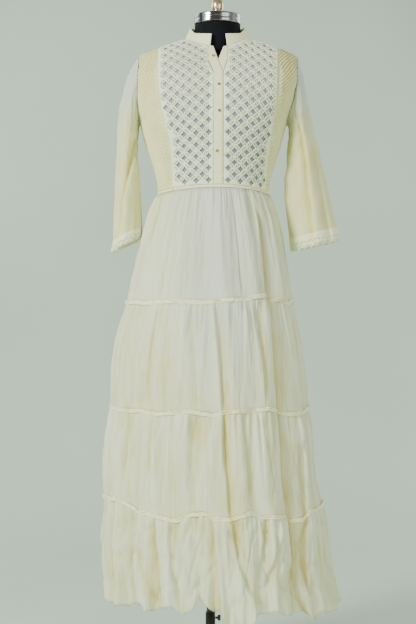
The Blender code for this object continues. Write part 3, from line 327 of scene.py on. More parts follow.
def smooth_columns(table):
    """Each column of a section table against height, eased through its rows."""
    rows = np.array(sorted(table))
    z = rows[:, 0]
    fine = np.linspace(z[0], z[-1], 1200)
    out = []
    for column in rows.T[1:]:
        slope = np.diff(column) / np.diff(z)
        tangent = np.zeros(len(z))
        for i in range(1, len(z) - 1):
            if slope[i - 1] * slope[i] > 0.0:
                tangent[i] = 2.0 * slope[i - 1] * slope[i] / (slope[i - 1] + slope[i])
        tangent[0] = slope[0]
        tangent[-1] = slope[-1]
        k = np.clip(np.searchsorted(z, fine, side="right") - 1, 0, len(z) - 2)
        h = z[k + 1] - z[k]
        t = (fine - z[k]) / h
        out.append(
            (2 * t**3 - 3 * t**2 + 1) * column[k]
            + (t**3 - 2 * t**2 + t) * h * tangent[k]
            + (3 * t**2 - 2 * t**3) * column[k + 1]
            + (t**3 - t**2) * h * tangent[k + 1]
        )
    return fine, out


BODICE_SHAPE = smooth_columns(BODICE)
SKIRT_SHAPE = smooth_columns(SKIRT)
FORM_SHAPE = smooth_columns(FORM)
EDGE_SHAPE = smooth_columns(LACE_EDGE)


def ease(t):
    t = np.clip(t, 0.0, 1.0)
    return t * t * (3.0 - 2.0 * t)


def blend(a, b, t):
    return a + (b - a) * t


def turned_away(angle, at):
    """Degrees from one angle to another, the short way round."""
    return (angle - at + 180.0) % 360.0 - 180.0


def along(line, z):
    """A value read off a line of (place, value) pairs."""
    return np.interp(z, [p[0] for p in line], [p[1] for p in line])


def round_about(line, angle):
    """A value read off a line of (angle, value) pairs that goes all round."""
    return along(line, turned_away(angle, 0.0))


def ring_points(shape, angle, z):
    """Points on a rounded section, at angles and heights."""
    fine, columns = shape
    left, right, front, back, power = [np.interp(z, fine, c) for c in columns]
    s = np.sin(np.radians(angle))
    c = np.cos(np.radians(angle))
    x = np.where(s > 0.0, right, -left) * np.abs(s) ** (2.0 / power)
    y = np.where(c > 0.0, -front, back) * np.abs(c) ** (2.0 / power)
    return np.stack([CENTRE_X + x, y, z + 0.0 * x], axis=-1)


def surface_points(shape, angle, z, out):
    """Points of the cloth's surface moved out along its normals."""
    here = ring_points(shape, angle, z)
    around = ring_points(shape, angle + 0.6, z) - ring_points(shape, angle - 0.6, z)
    rise = ring_points(shape, angle, z + 0.0015) - ring_points(shape, angle, z - 0.0015)
    normal = np.cross(around, rise)
    normal /= np.linalg.norm(normal, axis=-1, keepdims=True)
    return here + normal * (np.asarray(out) + 0.0 * here[..., 0])[..., None]


def angle_of(x, z):
    """The angle at which the bodice's front has the offset x from the centre line."""
    fine, columns = BODICE_SHAPE
    side = np.where(x > 0.0, np.interp(z, fine, columns[1]), np.interp(z, fine, columns[0]))
    power = np.interp(z, fine, columns[4])
    share = np.minimum(1.0, np.abs(x) / side)
    return np.copysign(np.degrees(np.arcsin(share ** (power / 2.0))), x)


def angle_past(x, z, distance):
    """The angle of the offset x, moved on round the body by a distance."""
    angle = angle_of(x, z)
    step = ring_points(BODICE_SHAPE, angle + 0.5, z) - ring_points(BODICE_SHAPE, angle - 0.5, z)
    return angle + np.copysign(1.0, x) * distance / np.linalg.norm(step, axis=-1)


def ridge_at(x):
    """Height of the shoulder line at the offset x."""
    fine, columns = BODICE_SHAPE
    high = fine > 1.515
    column = columns[1 if x > 0.0 else 0]
    return float(np.interp(-abs(x), -column[high], fine[high]))


def neck_height(turn):
    """Offset and height of the front neckline at a turn round the neck, in degrees from the front."""
    x = NECK_SIDE * math.sin(math.radians(turn))
    y = NECK_FRONT * math.cos(math.radians(turn))
    low = 1.50
    high = ridge_at(x)
    for _ in range(40):
        z = 0.5 * (low + high)
        deep = -float(ring_points(BODICE_SHAPE, angle_of(np.array(x), z), np.array(z))[1])
        if deep > y:
            low = z
        else:
            high = z
    return x, 0.5 * (low + high)


NECKLINE = tuple(neck_height(turn) for turn in range(-89, 90))


def waist_height(angle):
    return SEAM_LINES[0][0] - SEAM_LINES[0][1] * np.sin(np.radians(angle)) ** 2


def waist_top(angle):
    return waist_height(angle) + 0.5 * WAIST_BAND + SEAM


def arm_angle(side, face, z):
    """Angle of the armhole's edge on the front (face -1) or the back (face 1)."""
    fine, columns = BODICE_SHAPE
    middle = 0.5 * (ARM_LOW + ARM_HIGH)
    reach = 0.5 * (ARM_HIGH - ARM_LOW)
    share = np.minimum(1.0, np.abs(z - middle) / reach)
    y = ARM_DEPTH * np.sqrt(1.0 - share * share)
    depth = np.interp(z, fine, columns[2 if face < 0 else 3])
    power = np.interp(z, fine, columns[4])
    off = np.degrees(np.arcsin(np.minimum(1.0, (y / depth) ** (power / 2.0))))
    seam = 90.0 - FRONT_SEAM if face < 0 else BACK_SEAM - 90.0
    return side * (90.0 + face * np.maximum(off, seam))


def lace_x(side, z):
    """The lace's outer edge from the centre front line."""
    return side * np.interp(z, EDGE_SHAPE[0], EDGE_SHAPE[1][0 if side < 0 else 1])


def seam_height(line, angle):
    z, drop, tilt = SEAM_LINES[line]
    s = np.sin(np.radians(angle))
    return z - drop * s * s - tilt * s


def seam_place(line, angle):
    """Where a seam or the hem really runs, with its small wanderings."""
    if line == 4:
        return round_about(HEM, angle)
    return seam_height(line, angle) + round_about(SEAM_WANDER[line], angle)


def fold_height(angle, z):
    """How far the long folds stand out at an angle and height."""
    grow = np.maximum(0.0, 1.190 - z) ** 0.85
    total = 0.0 * grow
    for at, drift, width, height in FOLDS:
        away = turned_away(angle, at + drift * grow)
        total = total + height * np.exp(-0.5 * (away / width) ** 2)
    return total * grow


def column_angle(turn, tier):
    """The angle of a turn in radians, spaced unevenly so that gathers differ in width."""
    phase = 1.3 * tier
    return np.degrees(turn + 0.045 * np.sin(3.0 * turn + phase) + 0.035 * np.sin(5.0 * turn + 2.0 * phase))


def crease_depth(angle, z):
    """The sharp creases' depth below the surface, and the painted shade: how dark each point is painted in one."""
    depth = 0.0 * z
    dark = 0.0 * z
    for width, deep, lip, raised, points in CREASES:
        line = sorted((b, a) for a, b in points)
        away = turned_away(angle, along(line, z)) / width
        run = ease((line[-1][0] - z) / 0.035 + 0.3) * ease((z - line[0][0]) / 0.035 + 0.3)
        if raised:
            away = -raised * away
            sunk = 0.5 + 0.5 * np.tanh(3.2 * away)
            high = (1.0 - sunk) * np.exp(-0.5 * (away / 5.0) ** 2)
            core = sunk * np.exp(-0.5 * (away / 2.1) ** 2)
        else:
            core = np.exp(-((np.abs(away) / 1.1) ** 4))
            high = np.exp(-0.5 * ((np.abs(away) - 1.9) / 0.6) ** 2)
        depth = depth + run * (lip * high - deep * core)
        # Painted shade in each crease's core, used for the colour.
        dark = np.maximum(dark, core * run * min(1.0, deep / 0.008))
    return depth, dark


def soft_noise(u, v, seed, period=64):
    """Smooth random heights from -1 to 1, one cell a unit, that repeat after a period."""
    table = np.random.default_rng(seed).uniform(-1.0, 1.0, (period, 64))
    i = np.floor(u).astype(int)
    j = np.floor(v).astype(int)
    s = ease(u - i)
    t = ease(v - j)
    rows = (i % period, (i + 1) % period)
    columns = (j % 64, (j + 1) % 64)
    low = blend(table[rows[0], columns[0]], table[rows[1], columns[0]], s)
    high = blend(table[rows[0], columns[1]], table[rows[1], columns[1]], s)
    return blend(low, high, t)


def fine_gathers(angle, share, tier):
    """Small gathers below a seam: each has its own place, width, height and length."""
    rng = np.random.default_rng(70 + tier)
    count = GATHER_COUNTS[tier]
    pitch = 360.0 / count
    total = 0.0 * share
    start = ease(share / 0.035)
    for k in range(count):
        at = (k + rng.uniform(-0.38, 0.38)) * pitch
        width = pitch * rng.uniform(0.20, 0.38)
        tall = rng.uniform(0.45, 1.35)
        length = rng.uniform(0.16, 0.95) ** 1.25
        drift = rng.normal(0.0, 1.1) * pitch
        lean = 1.0 if rng.uniform() < 0.5 else -1.0
        away = lean * turned_away(angle, at + drift * share)
        fade = np.exp(-((share / length) ** 1.4))
        reach = width * (1.0 + 1.4 * share) * np.where(away < 0.0, 1.5, 0.6)
        total += tall * fade * start * np.exp(-0.5 * (away / reach) ** 2)
    return total - 0.42 * start * np.exp(-((share / 0.45) ** 1.4))


def add_piece(name, mesh, skins, nodes=(), smooth=True):
    """Puts a finished mesh in the scene as a piece that rides on the gown."""
    for skin in skins:
        mesh.materials.append(skin)
    if smooth:
        mesh.shade_smooth()
    piece = bpy.data.objects.new(name, mesh)
    bpy.context.scene.collection.objects.link(piece)
    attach(piece, BODY)
    if nodes:
        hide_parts(*nodes)
    return piece


def thicken(piece, thick, offset=-1.0):
    wall = piece.modifiers.new("Thickness", "SOLIDIFY")
    wall.thickness = thick
    wall.offset = offset
    return piece


def face_outwards(bm, hub):
    """Turns an open sheet's faces away from an upright line through the hub."""
    total = 0.0
    for face in bm.faces:
        centre = face.calc_center_median()
        total += face.normal.x * (centre.x - hub[0]) + face.normal.y * (centre.y - hub[1])
    if total < 0.0:
        bmesh.ops.reverse_faces(bm, faces=bm.faces)


def lay_cloth(name, across, up, place, size, wrap=False, hub=(CENTRE_X, 0.0), closed=False):
    """A grid laid by a placing function of its shares across and up, with UVs in metres and a painted shade value
    for the colour.
    """
    bm = bmesh.new()
    bmesh.ops.create_grid(bm, x_segments=across, y_segments=up, size=0.5)
    mesh = bpy.data.meshes.new(name)
    bm.to_mesh(mesh)
    bm.free()
    flat = np.empty(3 * len(mesh.vertices))
    mesh.vertices.foreach_get("co", flat)
    a = flat[0::3] + 0.5
    b = flat[1::3] + 0.5
    points, shade = place(a, b)
    mesh.vertices.foreach_set("co", points.ravel())
    corner = np.empty(len(mesh.loops), dtype=np.int32)
    mesh.loops.foreach_get("vertex_index", corner)
    layer = mesh.uv_layers.new(name="cloth")
    layer.data.foreach_set("uv", np.stack([a[corner] * size[0], b[corner] * size[1]], axis=-1).ravel())
    tone = mesh.attributes.new("shade", "FLOAT", "POINT")
    tone.data.foreach_set("value", np.clip(shade + 0.0 * a, 0.0, 1.0))
    bm = bmesh.new()
    bm.from_mesh(mesh)
    if wrap:
        bmesh.ops.remove_doubles(bm, verts=bm.verts, dist=0.00002)
    bm.normal_update()
    if closed:
        bmesh.ops.holes_fill(bm, edges=[e for e in bm.edges if e.is_boundary], sides=0)
        bmesh.ops.recalc_face_normals(bm, faces=bm.faces)
    else:
        face_outwards(bm, hub)
    bm.to_mesh(mesh)
    bm.free()
    return mesh


# Materials


def new_skin(name, roughness, metallic=0.0, sheen=0.0, alpha=1.0, coat=0.0):
    skin = bpy.data.materials.new(name)
    skin.use_nodes = True
    shader = skin.node_tree.nodes["Principled BSDF"]
    shader.inputs["Roughness"].default_value = roughness
    shader.inputs["Metallic"].default_value = metallic
    shader.inputs["Sheen Weight"].default_value = sheen
    shader.inputs["Alpha"].default_value = alpha
    shader.inputs["Coat Weight"].default_value = coat
    return skin, skin.node_tree, shader


def node(tree, kind, inputs=None, **settings):
    made = tree.nodes.new(kind)
    for key, value in settings.items():
        setattr(made, key, value)
    for key, value in (inputs or {}).items():
        if isinstance(value, bpy.types.NodeSocket):
            tree.links.new(value, made.inputs[key])
        else:
            made.inputs[key].default_value = value
    return made


def maths(tree, operation, a, b=0.0):
    return node(tree, "ShaderNodeMath", {0: a, 1: b}, operation=operation).outputs[0]


def ramp(tree, value, stops):
    made = node(tree, "ShaderNodeValToRGB", {"Fac": value})
    points = made.color_ramp.elements
    while len(points) < len(stops):
        points.new(0.5)
    for point, (at, colour) in zip(points, stops):
        point.position = at
        point.color = (*colour, 1.0)
    return made.outputs["Color"]


def scaled(colour, factor):
    return tuple(min(1.0, c * f) for c, f in zip(colour, factor))


def noise_on(tree, vector, scale, detail=2.0, roughness=0.5):
    moved = node(tree, "ShaderNodeMapping", {"Vector": vector, "Scale": scale})
    return node(
        tree, "ShaderNodeTexNoise",
        {"Vector": moved.outputs[0], "Scale": 1.0, "Detail": detail, "Roughness": roughness},
    ).outputs["Fac"]


def weave_on(tree, vector, pitch):
    """Warp and weft threads as a height from 0 to 1."""
    parts = node(tree, "ShaderNodeSeparateXYZ", {"Vector": vector})
    turns = 2.0 * math.pi / pitch
    warp = maths(tree, "SINE", maths(tree, "MULTIPLY", parts.outputs["X"], turns))
    weft = maths(tree, "SINE", maths(tree, "MULTIPLY", parts.outputs["Y"], turns))
    return maths(tree, "MULTIPLY_ADD", maths(tree, "MULTIPLY", warp, weft), 0.5)


def cloth_skin(name, colour, alpha=1.0, streaks=(230.0, 11.0, 1.0), streak=0.85, pitch=0.0009, crinkle=0.0018,
               painted_see_through=None):
    """Fine cotton: woven threads and soft streaks along it, with painted shade, darker and warmer, in deep folds,
    a painted highlight on ridges, and a painted see-through tint, cooler, where the form and room behind would
    show.
    """
    skin, tree, shader = new_skin(name, 0.86, sheen=0.05, alpha=alpha)
    uv = node(tree, "ShaderNodeUVMap", uv_map="cloth").outputs["UV"]
    place = node(tree, "ShaderNodeTexCoord").outputs["Object"]
    # The shade attribute is painted light and shade, laid by each placing function.
    shade = node(tree, "ShaderNodeAttribute", attribute_name="shade").outputs["Fac"]
    fine = noise_on(tree, uv, streaks, 3.0, 0.6)
    broad = noise_on(tree, place, (9.0, 9.0, 6.0), 2.0)
    tone = maths(tree, "ADD", shade, maths(tree, "MULTIPLY", maths(tree, "SUBTRACT", fine, 0.5), streak))
    tone = maths(tree, "ADD", tone, maths(tree, "MULTIPLY", maths(tree, "SUBTRACT", broad, 0.5), 0.20))
    # Painted shade and highlight: deep golden in creases and valleys, bluer and brighter on ridges.
    stops = (
        (0.00, scaled(colour, (0.80, 0.68, 0.36))),
        (0.25, scaled(colour, (0.94, 0.87, 0.64))),
        (0.50, colour),
        (0.85, scaled(colour, (1.10, 1.13, 1.30))),
    )
    tint = ramp(tree, tone, stops)
    # Painted see-through tint: cooler by height and nearness to the middle, for the form and room behind.
    if painted_see_through:
        low, high, near, far, cool = painted_see_through
        parts = node(tree, "ShaderNodeSeparateXYZ", {"Vector": place})
        away = maths(tree, "ABSOLUTE", maths(tree, "SUBTRACT", parts.outputs["X"], CENTRE_X))
        middle = node(tree, "ShaderNodeMapRange", {"Value": away, 1: near, 2: far, 3: 1.0, 4: 0.0},
                      interpolation_type="SMOOTHSTEP").outputs[0]
        rise = node(tree, "ShaderNodeMapRange", {"Value": parts.outputs["Z"], 1: low, 2: high},
                    interpolation_type="SMOOTHSTEP").outputs[0]
        patchy = maths(tree, "ADD", maths(tree, "MULTIPLY", fine, 0.9), 0.3)
        mask = maths(tree, "MULTIPLY", maths(tree, "MULTIPLY", middle, rise), patchy)
        mixed = node(tree, "ShaderNodeMix", data_type="RGBA")
        tree.links.new(maths(tree, "MINIMUM", mask, 0.85), mixed.inputs[0])
        tree.links.new(tint, mixed.inputs[6])
        mixed.inputs[7].default_value = (*cool, 1.0)
        tint = mixed.outputs[2]
    tree.links.new(tint, shader.inputs["Base Color"])
    threads = weave_on(tree, uv, pitch)
    height = maths(tree, "ADD", maths(tree, "MULTIPLY", threads, 0.12), fine)
    bump = node(tree, "ShaderNodeBump", {"Height": height, "Strength": 0.7, "Distance": crinkle})
    tree.links.new(bump.outputs[0], shader.inputs["Normal"])
    shader.inputs["Sheen Roughness"].default_value = 0.5
    return skin


def thread_skin(name, colour, pitch=0.0011):
    """Corded thread and net: small twisted strands, also used dark for the painted shade in the lace leaves' sunk
    middles.
    """
    skin, tree, shader = new_skin(name, 0.8, sheen=0.12)
    place = node(tree, "ShaderNodeTexCoord").outputs["Object"]
    strands = noise_on(tree, place, (1.0 / pitch, 1.0 / pitch, 1.0 / pitch), 2.0, 0.6)
    broad = noise_on(tree, place, (14.0, 14.0, 14.0), 2.0)
    tone = maths(tree, "ADD", maths(tree, "MULTIPLY", strands, 0.6), maths(tree, "MULTIPLY", broad, 0.4))
    low = scaled(colour, (0.80, 0.78, 0.70))
    high = scaled(colour, (1.08, 1.09, 1.12))
    stops = ((0.25, low), (0.55, colour), (0.80, high))
    tree.links.new(ramp(tree, tone, stops), shader.inputs["Base Color"])
    bump = node(tree, "ShaderNodeBump", {"Height": strands, "Strength": 0.7, "Distance": 0.00025})
    tree.links.new(bump.outputs[0], shader.inputs["Normal"])
    return skin


def veil_skin(name, colour):
    """The sheer lining over the black form: paler up at the chest, greyer at the ribs."""
    skin, tree, shader = new_skin(name, 0.9, sheen=0.1)
    place = node(tree, "ShaderNodeTexCoord").outputs["Object"]
    parts = node(tree, "ShaderNodeSeparateXYZ", {"Vector": place})
    rise = node(tree, "ShaderNodeMapRange", {"Value": parts.outputs["Z"], 1: 1.33, 2: 1.46}).outputs[0]
    broad = noise_on(tree, place, (22.0, 22.0, 22.0), 2.0)
    tone = maths(tree, "ADD", maths(tree, "MULTIPLY", rise, 0.55), maths(tree, "MULTIPLY", broad, 0.45))
    low = scaled(colour, (0.75, 0.80, 0.84))
    high = scaled(colour, (1.75, 1.65, 1.45))
    stops = ((0.10, low), (0.45, colour), (0.95, high))
    tree.links.new(ramp(tree, tone, stops), shader.inputs["Base Color"])
    fine = noise_on(tree, place, (900.0, 900.0, 900.0), 1.0)
    bump = node(tree, "ShaderNodeBump", {"Height": fine, "Strength": 0.4, "Distance": 0.0003})
    tree.links.new(bump.outputs[0], shader.inputs["Normal"])
    return skin


def metal_skin(name, colour, roughness, scratch):
    """Polished metal with faint turning marks and smears."""
    skin, tree, shader = new_skin(name, roughness, metallic=1.0)
    place = node(tree, "ShaderNodeTexCoord").outputs["Object"]
    marks = noise_on(tree, place, (40.0, 40.0, 1600.0), 2.0)
    smear = noise_on(tree, place, (38.0, 38.0, 3.0), 1.0)
    dark = scaled(colour, (0.16, 0.15, 0.15))
    grey = scaled(colour, (0.72, 0.72, 0.72))
    stops = ((0.36, dark), (0.48, grey), (0.62, colour))
    tree.links.new(ramp(tree, smear, stops), shader.inputs["Base Color"])
    rough = node(tree, "ShaderNodeMapRange", {"Value": smear, 3: roughness * 0.7, 4: roughness * 1.6})
    tree.links.new(rough.outputs[0], shader.inputs["Roughness"])
    bump = node(tree, "ShaderNodeBump", {"Height": marks, "Strength": scratch, "Distance": 0.0001})
    tree.links.new(bump.outputs[0], shader.inputs["Normal"])
    return skin


def dark_skin(name, colour, roughness, grain, gloss=0.5, coat=0.0):
    """The form's black jersey, the stand's enamel or a button's horn: a fine grain and slight wear."""
    skin, tree, shader = new_skin(name, roughness, coat=coat)
    shader.inputs["Specular IOR Level"].default_value = gloss
    place = node(tree, "ShaderNodeTexCoord").outputs["Object"]
    fine = noise_on(tree, place, (grain, grain, grain), 2.0, 0.6)
    broad = noise_on(tree, place, (12.0, 12.0, 12.0), 2.0)
    stops = ((0.3, scaled(colour, (0.7, 0.7, 0.7))), (0.7, scaled(colour, (1.5, 1.5, 1.5))))
    tree.links.new(ramp(tree, broad, stops), shader.inputs["Base Color"])
    rough = node(tree, "ShaderNodeMapRange", {"Value": broad, 3: roughness * 0.8, 4: roughness * 1.2})
    tree.links.new(rough.outputs[0], shader.inputs["Roughness"])
    bump = node(tree, "ShaderNodeBump", {"Height": fine, "Strength": 0.5, "Distance": 0.0003})
    tree.links.new(bump.outputs[0], shader.inputs["Normal"])
    return skin


def skin_of(name):
    """A material by its name, made when first asked for."""
    if name in bpy.data.materials:
        return bpy.data.materials[name]
    tones = bpy.context.scene.gown_colours
    if name == "gauze":
        cover = bpy.context.scene.gown_sizes.gauze_cover
        return cloth_skin(name, tuple(tones.skirt), alpha=cover, painted_see_through=SKIRT_SEE_THROUGH_TINT)
    if name == "sleeve gauze":
        return cloth_skin(name, tuple(tones.sleeve), alpha=0.80, streaks=(190.0, 16.0, 1.0), streak=0.40,
                          painted_see_through=SLEEVE_SEE_THROUGH_TINT)
    if name == "cream cotton":
        return cloth_skin(name, tuple(tones.cream), streaks=(240.0, 60.0, 1.0), streak=0.25, crinkle=0.0007)
    # Painted shade: a darker, warmer copy of the cream cotton, for the shade of the pin tucks over the whole
    # panel.
    if name == "tucked cotton painted shade":
        return cloth_skin(name, scaled(tuple(tones.cream), (0.80, 0.80, 0.64)), streaks=(240.0, 60.0, 1.0),
                          streak=0.30, crinkle=0.0007)
    if name == "white lace":
        return thread_skin(name, tuple(tones.lace))
    if name == "seam cord":
        return thread_skin(name, tuple(tones.cord), 0.0016)
    if name == "stitching":
        return thread_skin(name, scaled(tuple(tones.cream), (0.90, 0.86, 0.76)), 0.0006)
    # Painted shade: a dark finish for the sunk middles of the lace and cuff leaves.
    if name == "net middle painted shade":
        return thread_skin(name, (0.37, 0.40, 0.31), 0.0006)
    # Painted shade: ochre for the small fold's shade at the waist band's left end.
    if name == "ochre painted shade":
        return thread_skin(name, (0.55, 0.24, 0.05), 0.0006)
    if name == "lining voile":
        return veil_skin(name, tuple(tones.lining))
    if name == "horn":
        return dark_skin(name, tuple(tones.button), 0.35, 900.0, coat=0.3)
    if name == "black jersey":
        return dark_skin(name, tuple(tones.form), 0.9, 1500.0, gloss=0.12)
    if name == "black enamel":
        return dark_skin(name, (0.012, 0.012, 0.014), 0.3, 500.0, coat=0.4)
    if name == "chrome":
        return metal_skin(name, (0.78, 0.78, 0.79), 0.14, 0.2)
    if name == "brass":
        return metal_skin(name, (0.72, 0.55, 0.32), 0.22, 0.3)
    raise ValueError("no finish is named " + name)


# Skirt


def tier_place(tier, sizes):
    """The placing function of one tier, from its bottom edge up to its top seam."""

    def place(a, b):
        share = 1.0 - b
        turn = 2.0 * math.pi * a
        angle = column_angle(turn, tier)
        top = seam_place(tier, angle) - SEAM - (0.5 * WAIST_BAND if tier == 0 else 0.0)
        bottom = seam_place(tier + 1, angle)
        z = blend(top, bottom, share)
        column = 2 if tier == 3 else 1
        wave = np.interp(share, [g[0] for g in GATHERS], [g[column] for g in GATHERS])
        swing = 0.7 + 0.3 * np.sin(np.radians(3.0 * angle + 70.0 * tier))
        wave = wave * swing * np.cos(WAVES * turn)
        small = fine_gathers(angle, share, tier)
        crease, dark = crease_depth(angle, z)
        held = ease(share / 0.08)
        if tier < 3:
            held = held * ease((1.0 - share) / 0.10)
        swell = soft_noise(a * 48.0, share * 1.6 + 3.0 * tier, 11 + tier, 48)
        crinkle = soft_noise(a * 192.0, share * 9.0, 31 + tier, 192)
        frill = 0.0 * a
        if tier == 3:
            low = ease((share - 0.35) / 0.65)
            flute = 0.0042 * np.sin(37.0 * turn + 2.2 * np.sin(5.0 * turn))
            frill = low * (flute + 0.003 * np.sin(61.0 * turn + 1.0))
            z = z + 0.5 * frill * low
            frill = frill - 0.0120 * low * np.exp(-0.5 * (turned_away(angle, -90.0) / 24.0) ** 2)
        out = fold_height(angle, z) + wave + sizes.gather_depth * small + crease * (0.35 + 0.65 * held)
        out = out + held * (0.0026 * swell + 0.0007 * crinkle) + frill
        lean = 2.2 * share
        crumple = np.exp(-((soft_noise(a * 54.0 + lean, share * 3.4, 171 + tier, 54) / 0.13) ** 2))
        crumple = crumple + np.exp(-((soft_noise(a * 54.0 - lean, share * 3.0, 181 + tier, 54) / 0.13) ** 2))
        out = out - CRUMPLE[tier] * crumple * held
        # Painted light and shade: darker and warmer in creases, crumples and gather valleys, lighter on gathers,
        # swells and waves.
        shade = 0.55 + 0.28 * small + 0.16 * swell + 0.10 * crinkle - 0.50 * dark
        shade = shade - 34.0 * CRUMPLE[tier] * crumple
        shade = shade + 14.0 * wave * (0.4 + 0.6 * share)
        return surface_points(SKIRT_SHAPE, angle, z, out), shade

    return place


def heading_place(line):
    """A gathered double cord that covers the seam between two tiers."""

    def place(a, b):
        angle = 360.0 * a
        z = seam_place(line, angle) + (b - 0.5) * 0.0105
        ripple = soft_noise(a * 256.0, 3.0 * b, 50 + line, 256)
        slow = soft_noise(a * 40.0, 0.5 + 0.0 * b, 60 + line, 40)
        profile = np.interp(b, (0.0, 0.14, 0.30, 0.45, 0.58, 0.74, 0.90, 1.0),
                            (0.0004, 0.0024, 0.0029, 0.0011, 0.0012, 0.0034, 0.0026, 0.0006))
        crease, dark = crease_depth(angle, z)
        broken = soft_noise(a * 90.0, 0.7 + 0.0 * b, 55 + line, 90)
        z = z + 0.0010 * ripple + 0.0014 * slow + 0.0008 * broken
        out = fold_height(angle, z) + profile * (1.0 + 0.55 * ripple + 0.35 * broken) + 0.5 * crease
        # Painted light and shade: lighter on the raised cords, darker in the creases.
        shade = 0.54 + 0.26 * ripple + 0.10 * broken + 70.0 * (profile - 0.0022) - 0.35 * dark
        return surface_points(SKIRT_SHAPE, angle, z, out), shade

    return place


# Lace


def cell(table, i, j):
    """A value read between the rows and columns of a table."""
    i = np.clip(i, 0.0, table.shape[0] - 1.0001)
    j = np.clip(j, 0.0, table.shape[1] - 1.0001)
    a = i.astype(int)
    b = j.astype(int)
    low = blend(table[a, b], table[a + 1, b], i - a)
    high = blend(table[a, b + 1], table[a + 1, b + 1], i - a)
    return blend(low, high, j - b)


class FlatFront:
    """One side of the front laid flat: u runs round from the centre line and v up from the waist."""

    def __init__(self, side):
        self.side = side
        self.zs = np.linspace(1.180, 1.566, 150)
        self.us = np.linspace(0.0, 0.22, 221)
        self.vs = np.linspace(0.0, 0.44, 221)
        self.rise = []
        for x in 0.005 * np.arange(32):
            low = float(waist_top(angle_of(np.array(side * x), 1.2010)))
            top = ridge_at(side * x)
            z = top - (top - low) * (1.0 - np.linspace(0.0, 1.0, 81)) ** 2
            steady = side * min(x, 0.095) + 0.0 * z
            y = ring_points(BODICE_SHAPE, angle_of(steady, z), z)[:, 1]
            self.rise.append((z, np.concatenate(([0.0], np.cumsum(np.hypot(np.diff(z), np.diff(y)))))))
        self.round = []
        turns = side * np.arange(91.0)
        for z in self.zs:
            points = ring_points(BODICE_SHAPE, turns, z + 0.0 * turns)
            x = np.abs(points[:, 0] - CENTRE_X)
            arc = np.concatenate(([0.0], np.cumsum(np.linalg.norm(np.diff(points, axis=0), axis=1))))
            self.round.append((x, blend(arc, x, ease((z - 1.495) / 0.040))))
        self.heights = np.array([np.interp(self.vs, length, z) for z, length in self.rise])
        self.offsets = np.array([np.interp(self.us, arc, x) for x, arc in self.round])

    def flat(self, x, z):
        """The flat place of an offset and height."""
        x = abs(x)
        i = (z - self.zs[0]) / (self.zs[1] - self.zs[0])
        row = min(len(self.zs) - 2, max(0, int(i)))
        column = min(30, int(x / 0.005))
        u = [float(np.interp(x, *self.round[k])) for k in (row, row + 1)]
        v = [float(np.interp(z, *self.rise[k])) for k in (column, column + 1)]
        return blend(*u, i - row), blend(*v, x / 0.005 - column)

    def place(self, u, v):
        """The offset and height of flat places."""
        x = u.copy()
        z = 0.0 * u
        for _ in range(12):
            z = cell(self.heights, x / 0.005, v / (self.vs[1] - self.vs[0]))
            rows = (z - self.zs[0]) / (self.zs[1] - self.zs[0])
            x = blend(x, cell(self.offsets, rows, u / (self.us[1] - self.us[0])), 0.8)
        return self.side * x, z

    def wrap(self, flat):
        """Flat points with a height off the cloth, laid on the bodice."""
        x, z = self.place(flat[:, 0], flat[:, 1])
        return surface_points(BODICE_SHAPE, angle_of(x, z), z, flat[:, 2])


def inside(point, outline):
    x, y = point
    hit = False
    for (ax, ay), (bx, by) in zip(outline, outline[1:] + outline[:1]):
        if (ay > y) != (by > y) and x < (bx - ax) * (y - ay) / (by - ay) + ax:
            hit = not hit
    return hit


def lace_outline(laid):
    """The lace's outline laid flat, from the waist up the centre edge and back down the side."""
    side = laid.side
    centre = LACE_CENTRE[side]
    start = math.degrees(math.asin(abs(float(along(centre, 1.536))) / NECK_SIDE))
    levels = [1.2180 + 0.0165 * k for k in range(15)] + [1.468, 1.483, 1.498, 1.514]
    edge = [(float(along(centre, z)), z) for z in levels]
    for k in range(6):
        x, z = neck_height(blend(start, 86.0, k / 5.0))
        edge.append((side * x, z))
    flat = [laid.flat(x, z) for x, z in edge]
    shoulder = abs(float(lace_x(side, 1.546)))
    for k in range(1, 6):
        x = blend(NECK_SIDE - 0.0004, shoulder - 0.0004, k / 5.0)
        u, v = laid.flat(x, ridge_at(side * x))
        flat.append((u, v - 0.0008))
    flat += [laid.flat(float(lace_x(side, z)), z) for z in np.linspace(1.5320, 1.2100, 21)]
    first = laid.flat(float(along(centre, 1.2010)), 1.2010)[0]
    last = laid.flat(float(lace_x(side, 1.2010)), 1.2010)[0]
    flat += [(blend(last, first, k / 9.0), 0.0) for k in range(10)]
    return flat


def gap_places(side):
    """Centres of the lattice's star gaps on the flat lace."""
    start = 0.0215 if side < 0 else 0.0250
    places = []
    for j in range(-1, 33):
        for i in range(-1, 8):
            places.append((start + GAP_PITCH_X * (i + (0.5 if j % 2 else 0.0)), 0.0100 + GAP_PITCH_V * j))
    return places


def star(u, v, grow=1.0):
    """The outline of one four-pointed gap."""
    loop = []
    for k in range(16):
        turn = math.pi * k / 8.0
        c = math.cos(turn)
        s = math.sin(turn)
        reach_u = math.copysign(abs(c) ** 2.7, c) * 0.0086
        reach_v = math.copysign(abs(s) ** 2.7, s) * 0.0084
        loop.append((u + grow * reach_u, v + grow * reach_v))
    return loop


def bend_on(bm, laid):
    """Moves every point of a flat bmesh on to the bodice, and keeps its flat place as UVs."""
    layer = bm.loops.layers.uv.new("cloth")
    for face in bm.faces:
        for loop in face.loops:
            loop[layer].uv = (loop.vert.co.x, loop.vert.co.y)
    bm.verts.ensure_lookup_table()
    flat = np.array([v.co for v in bm.verts])
    for vert, point in zip(bm.verts, laid.wrap(flat)):
        vert.co = point
    if laid.side < 0:
        bmesh.ops.reverse_faces(bm, faces=bm.faces)


